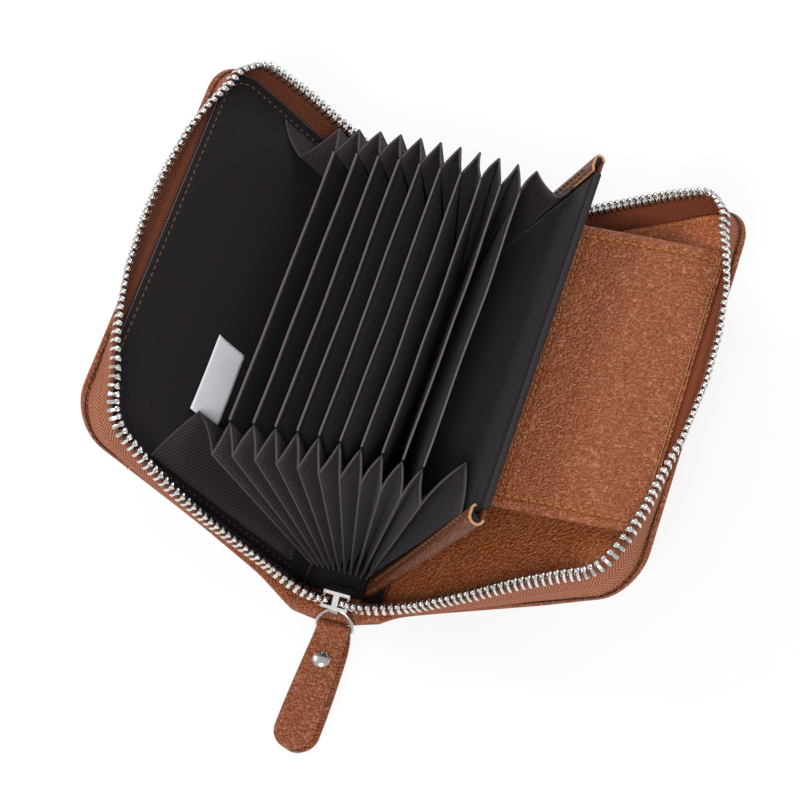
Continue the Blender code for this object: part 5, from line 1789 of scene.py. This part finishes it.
def panel_crown(x, y):
    """Height over the slip pocket's plane: rolled edges, grooves at the seams, a soft crown."""
    half = PANEL_LENGTH / 2
    height = wave("panel", x, y)
    for gap, seam in ((half - abs(y), PANEL_END_SEAM), (PANEL_WIDTH - x, PANEL_SIDE_SEAM)):
        height -= PANEL_GROOVE * bell(gap - seam, PANEL_GROOVE_SPREAD)
        height += PANEL_ROLL * bell(gap - seam * PANEL_ROLL_SHARE, PANEL_ROLL_SPREAD)
    along = max(0.0, 1 - (y / half) ** 2)
    turn = math.pi * min(1.0, x / PANEL_WIDTH) * PANEL_CROWN_RUN
    return height + PANEL_CROWN * along * math.sin(turn)


def panel_steps(length, count):
    """Even steps with finer ones close to both ends."""
    fine = [PANEL_EDGE * s for s in PANEL_EDGE_SHARES]
    middle = stretch(PANEL_EDGE, length - PANEL_EDGE, count)
    return fine + middle + [length - s for s in reversed(fine)]


def panel_skin(x, y, side):
    """Place on the top (1) or the underside (-1) of the panel, round at its edges."""
    half = PANEL_LENGTH / 2
    gap = min(x, PANEL_WIDTH - x, half - abs(y))
    share = min(1.0, max(0.0, gap) / PANEL_EDGE)
    h = side * PANEL_THICKNESS / 2 * math.sqrt(max(0.0, 1 - (1 - share) ** 2))
    crown = panel_crown(x, y)
    if h > 0:
        return panel_at(x, y, h + crown)
    lip = PANEL_LIP * bell(half - abs(y), PANEL_LIP_SPREAD)
    return panel_at(x, y, h - lip + PANEL_UNDER_SHARE * crown)


def panel_seam(xs, ys):
    """One line of stitches on the panel's top."""
    height = PANEL_THICKNESS / 2 + PANEL_STITCH_OVER
    path = [panel_at(x, y, height + panel_crown(x, y)) for x in xs for y in ys]
    return path, [panel_at(0, 0, 1) - panel_at(0, 0, 0)] * len(path)


def make_slip_pocket():
    """Leather panel with turned ends, its stitches in grooves and a raw edge at the zip."""
    half = PANEL_LENGTH / 2
    across, along = POINTS["panel"]
    xs = panel_steps(PANEL_WIDTH, across)
    ys = [y - half for y in panel_steps(PANEL_LENGTH, along)]
    bm = bmesh.new()
    for side in (1, -1):
        rows = [[panel_skin(x, y, side) for y in ys] for x in xs]
        cloth_rows(bm, rows, lambda i, j: (xs[i], ys[j] + half))
    obj = mesh_piece("slip_pocket_hide", bm, finish_of(leather_finish, SHADE["hide"]))
    settle(obj, "slip_pocket", "slip_pocket")
    first, last = PANEL_STITCH_ENDS
    seam_xs = stretch(first, PANEL_WIDTH - last, POINTS["panel_end_seam"])
    end = half - PANEL_END_SEAM
    runs = [panel_seam(seam_xs, [-end]), panel_seam(seam_xs, [end])]
    seam_ys = stretch(-end, end, POINTS["panel_side_seam"])
    runs.append(panel_seam([PANEL_WIDTH - PANEL_SIDE_SEAM], seam_ys))
    stitch_piece(
        "slip_pocket_stitches", runs, "slip_pocket", "slip_pocket", SHADE["panel_stitches"],
        PANEL_THREAD,
    )
    x, h = PANEL_RAW_EDGE
    raw_half = half - PANEL_RAW_ENDS
    line = [panel_at(x, y, h) for y in stretch(-raw_half, raw_half, POINTS["panel_raw"])]
    finish = finish_of(raw_edge_finish, SHADE["panel_raw"])
    raw = cord_piece("slip_pocket_raw_edge", [line], PANEL_RAW_RADIUS, finish)
    settle(raw, "slip_pocket", "slip_pocket", False)


# Slider and pull


def make_ring():
    """D-shaped wire: an arch through the bridge on a straight bar for the strap."""
    down = (STRAP_POINT - RING_POINT).normalized()
    side = Vector((1, 0, 0))
    through = side.cross(down) * RING_WIRE
    bar = RING_HALF_WIDTH - RING_CORNER
    rings = []
    for start, stop, part, x, radius in (
        (-90, 90, "ring_arch", 0.0, RING_HALF_WIDTH),
        (90, 180, "ring_corner", bar, RING_CORNER),
        (180, 270, "ring_corner", -bar, RING_CORNER),
    ):
        for turn in stretch(math.radians(start), math.radians(stop), POINTS[part]):
            out = side * math.sin(turn) - down * math.cos(turn)
            centre = RING_POINT + down * RING_HALF_WIDTH + side * x + out * radius
            rings.append(circle(centre, out * RING_WIRE, through, SIDES["ring"]))
    obj = loft_piece("ring", rings, finish_of(nickel_finish, METAL_ROUGH["ring"]), caps=False)
    settle(obj, "pull_ring", "pull_ring")


def strap_half_width(distance):
    """Narrow at the ring, wider all the way to the shoulder, round at the tip."""
    full, narrow = STRAP_WIDTH / 2, STRAP_LOOP_WIDTH / 2
    if distance <= STRAP_NECK:
        return narrow
    if distance < STRAP_SHOULDER:
        share = (distance - STRAP_NECK) / (STRAP_SHOULDER - STRAP_NECK)
        return narrow + (full - narrow) * (1 - (1 - share) ** STRAP_WIDEN_POWER)
    past = distance - (STRAP_LENGTH - full)
    if past <= 0:
        return full
    return max(full * STRAP_TIP_SHARE, math.sqrt(max(0.0, full * full - past * past)))


def strap_line():
    """Distance from the ring and height of the strap's middle, tip to tip."""
    layer = (STRAP + STRAP_LAYER_GAP) / 2
    full, radius, leave = STRAP_WIDTH / 2, STRAP_LOOP_RADIUS, STRAP_LOOP_LEAVE
    tip = STRAP_LENGTH - full
    turns = stretch(math.pi / 2, 0.0, POINTS["strap_tip"])
    upper = [(tip + full * math.sin(turn), layer) for turn in turns]
    for distance in stretch(tip - STRAP_TIP_OVERLAP, STRAP_CLOSE, POINTS["strap"]):
        upper.append((distance, layer))
    turns = stretch(leave, 2 * math.pi - leave, POINTS["strap_loop"])
    loop = [(radius * math.cos(turn), radius * math.sin(turn)) for turn in turns]
    for share in STRAP_LOOP_SHARES:
        ease = share * share * (3 - 2 * share)
        distance = STRAP_CLOSE + (loop[0][0] - STRAP_CLOSE) * share
        upper.append((distance, layer + (loop[0][1] - layer) * ease))
    return upper + loop + [(d, -h) for d, h in reversed(upper)]


def make_strap():
    """Leather strap folded round the ring, with rounded edges, pressed in by its rivet."""
    back = Matrix.Rotation(STRAP_FALL, 3, "X")
    line = strap_line()
    half_section = [*STRAP_SECTION, *((-x, z) for x, z in reversed(STRAP_SECTION[:-1]))]
    section = half_section + [(x, -z) for x, z in reversed(half_section)]
    rings = []
    for i, (d, h) in enumerate(line):
        run = Vector(line[min(len(line) - 1, i + 1)]) - Vector(line[max(0, i - 1)])
        side = Vector((-run.y, run.x)).normalized() * STRAP / 2
        half = strap_half_width(max(0.0, d))
        drift = -STRAP_YAW_SHARE * d
        if h < 0:
            drift += STRAP_BACK_SHIFT * (1 - math.exp(-max(0.0, d) / STRAP_BACK_SPREAD))
        ring = []
        for across, way in section:
            sway = 0.0
            if h > 0 and d > STRAP_CLOSE:
                pressed = math.hypot(across * half, d - RIVET_FROM_RING) / RIVET_DISH_SPREAD
                sway = wave("strap", across * half, d)
                sway -= RIVET_DISH * math.exp(-(pressed**4))
            place = (across * half + drift, -(d + way * side.x), h + way * side.y + sway)
            ring.append(STRAP_POINT + back @ Vector(place))
        rings.append(ring)
    strap = loft_piece("strap", rings, finish_of(leather_finish, SHADE["strap"]))
    settle(strap, "pull_strap", "pull_strap")


def make_rivet():
    """Domed head over the strap and a flat foot under it, turned from one profile."""
    back = Matrix.Rotation(STRAP_FALL, 3, "X")
    yaw = STRAP_YAW_SHARE * RIVET_FROM_RING
    centre = STRAP_POINT + back @ Vector((-yaw, -RIVET_FROM_RING, 0))
    up, side = back @ Vector((0, 0, 1)), Vector((1, 0, 0))
    outside = RIVET_OUTSIDE
    profile = [(RIVET_TIP, outside + RIVET_DOME)]
    for share in RIVET_DOME_SHARES:
        height = outside + RIVET_DOME * math.sqrt(1 - share * share)
        profile.append((RIVET_RADIUS * share, height))
    profile += [(radius, outside - drop) for radius, drop in RIVET_NECK]
    profile += [(radius, -outside - drop) for radius, drop in RIVET_FOOT]
    rings = []
    for radius, height in profile:
        one, other = side * (radius * MM), up.cross(side) * (radius * MM)
        rings.append(circle(centre + up * height, one, other, SIDES["rivet"]))
    rivet = loft_piece("rivet_head", rings, finish_of(nickel_finish, METAL_ROUGH["rivet"]))
    settle(rivet, "rivet", "pull_strap")


def dress_node(name, finish, bevel=0.0):
    """Gives a node of the model its finish and, where metal, softer edges."""
    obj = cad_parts[name]
    for slot in obj.material_slots:
        slot.material = finish
    if bevel > 0:
        step = obj.modifiers.new("softened", "BEVEL")
        step.width = bevel
        step.segments = 3
        step.limit_method = "ANGLE"
        step.angle_limit = SMOOTH_ANGLE
        step.harden_normals = True


class MAKER_OT_covers(bpy.types.Operator):
    """Outer leather of both covers and of the spine"""

    bl_idname = "card_holder.covers"
    bl_label = "Covers"

    def execute(self, context):
        for cover in COVERS.values():
            hide_piece(cover)
            dress_node(cover.name + "_cover_board", finish_of(board_finish))
        make_spine_hide()
        make_bar_tack()
        return {"FINISHED"}


class MAKER_OT_linings(bpy.types.Operator):
    """Linings, their seams, the spine's lining strip and the bare label"""

    bl_idname = "card_holder.linings"
    bl_label = "Linings"

    def execute(self, context):
        left, right = COVERS["left"], COVERS["right"]
        cloth = finish_of(lining_finish, 8.0, SHADE["left_lining"], sizes().twill)
        lining_piece(left, cloth, "left_lining_cloth")
        binding_piece(left)
        # The right lining's leather is lightened as painted light
        hide = finish_of(leather_finish, SHADE["right_lining"])
        lining_piece(right, hide, "right_lining_hide")
        for cover in (left, right):
            stitch_piece(
                cover.name + "_seam", [seam_path(cover)], cover.name + "_cover_lining",
                cover.body, SEAM_SHADE[cover.name], SEAM_THREAD[cover.name],
            )
        make_spine_cloth()
        return {"FINISHED"}


class MAKER_OT_zip(bpy.types.Operator):
    """Zip tapes, teeth, their soft ends and the bottom stop"""

    bl_idname = "card_holder.zip"
    bl_label = "Zip"

    def execute(self, context):
        for cover in COVERS.values():
            tape_piece(cover, [stub_pieces(cover, end) for end in DEEP_FOLD])
            teeth_piece(cover)
            tape_trim(cover)
        dress_node("bottom_stop", finish_of(nickel_finish, METAL_ROUGH["teeth"]), STOP_BEVEL)
        return {"FINISHED"}


class MAKER_OT_accordion(bpy.types.Operator):
    """Fabric dividers, pleated gussets and the leather end divider"""

    bl_idname = "card_holder.accordion"
    bl_label = "Accordion"

    def execute(self, context):
        for index in range(DIVIDER_COUNT):
            make_divider(index)
        for end in DEEP_FOLD:
            make_pleats(end)
        heights = stretch(0.0, END_DEPTH - END_TOP_GAP, POINTS["end_height"])
        end_divider_hide(heights)
        end_divider_hems(heights)
        end_divider_lining()
        end_divider_stitches()
        return {"FINISHED"}


class MAKER_OT_slip_pocket(bpy.types.Operator):
    """Leather slip pocket with its stitches and raw edge"""

    bl_idname = "card_holder.slip_pocket"
    bl_label = "Slip pocket"

    def execute(self, context):
        make_slip_pocket()
        return {"FINISHED"}


class MAKER_OT_pull(bpy.types.Operator):
    """Slider, ring, strap and rivet"""

    bl_idname = "card_holder.pull"
    bl_label = "Slider and pull"

    def execute(self, context):
        dress_node("slider", finish_of(nickel_finish, METAL_ROUGH["slider"]), SLIDER_BEVEL)
        make_ring()
        make_strap()
        make_rivet()
        return {"FINISHED"}


class MAKER_OT_stage(bpy.types.Operator):
    """Floor, soft lights, world and camera"""

    bl_idname = "card_holder.stage"
    bl_label = "Stage"

    def execute(self, context):
        scene = context.scene
        self.floor()
        scene.world = bpy.data.worlds.new("studio")
        scene.world.use_nodes = True
        sky = scene.world.node_tree.nodes["Background"]
        sky.inputs["Color"].default_value = (1.0, 1.0, 1.0, 1.0)
        sky.inputs["Strength"].default_value = SKY_STRENGTH
        for name, (place, watts) in LAMPS.items():
            self.light(scene, name, place, watts)
        self.camera(scene)
        scene.view_settings.view_transform = "Standard"
        return {"FINISHED"}

    def floor(self):
        """Pale floor, nearly white to the camera and in reflections, that keeps its shadows."""
        bm = bmesh.new()
        bmesh.ops.create_grid(bm, x_segments=1, y_segments=1, size=FLOOR_HALF_SIZE)
        paint = Paint("floor")
        light = paint.node("ShaderNodeLightPath").socket.node
        seen = Wire(paint, light.outputs["Is Camera Ray"])
        for name in ("Is Glossy Ray", "Is Transmission Ray"):
            seen = seen + Wire(paint, light.outputs[name])
        glow = paint.node("ShaderNodeEmission", sockets={"Color": (1, 1, 1), "Strength": 1.0})
        paint.finish(Base_Color=(0.9, 0.9, 0.9), Roughness=0.9, Specular_IOR_Level=0.0)
        plain = Wire(paint, paint.shader.outputs[0])
        mixed = paint.node(
            "ShaderNodeMixShader", sockets={0: seen * FLOOR_GLOW_SHARE, 1: plain, 2: glow}
        )
        output = paint.tree.nodes["Material Output"]
        paint.tree.links.new(mixed.socket, output.inputs["Surface"])
        mesh_piece("floor", bm, paint.material)

    def light(self, scene, name, place, watts):
        lamp = bpy.data.lights.new(name, "AREA")
        lamp.shape = "DISK"
        lamp.size = LAMP_SIZE
        lamp.energy = watts
        obj = bpy.data.objects.new(name, lamp)
        obj.location = place
        obj.rotation_mode = "QUATERNION"
        obj.rotation_quaternion = (LAMP_AIM - Vector(place)).to_track_quat("-Z", "Y")
        scene.collection.objects.link(obj)

    def camera(self, scene):
        flat = math.cos(CAMERA_ELEVATION)
        back = Vector(
            (math.sin(CAMERA_AZIMUTH) * flat, -math.cos(CAMERA_AZIMUTH) * flat,
             math.sin(CAMERA_ELEVATION))
        )
        right = (-back).cross(Vector((0, 0, 1))).normalized()
        down = (-back).cross(right)
        cos, sin = math.cos(CAMERA_ROLL), math.sin(CAMERA_ROLL)
        right, down = right * cos - down * sin, right * sin + down * cos
        data = bpy.data.cameras.new("photo_view")
        data.lens = LENS_MM
        data.sensor_width = SENSOR_MM
        data.clip_start, data.clip_end = CAMERA_CLIP
        camera = bpy.data.objects.new("photo_view", data)
        turn = Matrix((right, -down, back)).transposed()
        place = CAMERA_TARGET + back * CAMERA_DISTANCE
        camera.matrix_world = Matrix.Translation(place) @ turn.to_4x4()
        scene.collection.objects.link(camera)
        scene.camera = camera


STEPS = (
    MAKER_OT_stage, MAKER_OT_covers, MAKER_OT_linings, MAKER_OT_zip, MAKER_OT_accordion,
    MAKER_OT_slip_pocket, MAKER_OT_pull,
)


class MAKER_PT_panel(bpy.types.Panel):
    """Card holder settings and steps."""

    bl_idname = "MAKER_PT_card_holder"
    bl_label = "Card Holder"
    bl_space_type = "VIEW_3D"
    bl_region_type = "UI"
    bl_category = "Card Holder"

    def draw(self, context):
        for group in (sizes(), colours()):
            for name in group.__annotations__:
                self.layout.prop(group, name)
        for step in STEPS:
            self.layout.operator(step.bl_idname)


CLASSES = (HolderSizes, HolderColours, *STEPS, MAKER_PT_panel)


def register():
    for cls in CLASSES:
        bpy.utils.register_class(cls)
    bpy.types.Scene.holder_sizes = PointerProperty(type=HolderSizes)
    bpy.types.Scene.holder_colours = PointerProperty(type=HolderColours)


def unregister():
    del bpy.types.Scene.holder_sizes
    del bpy.types.Scene.holder_colours
    for cls in reversed(CLASSES):
        bpy.utils.unregister_class(cls)


def main():
    register()
    for step in STEPS:
        group, name = step.bl_idname.split(".")
        getattr(getattr(bpy.ops, group), name)()


if __name__ == "__main__":
    main()
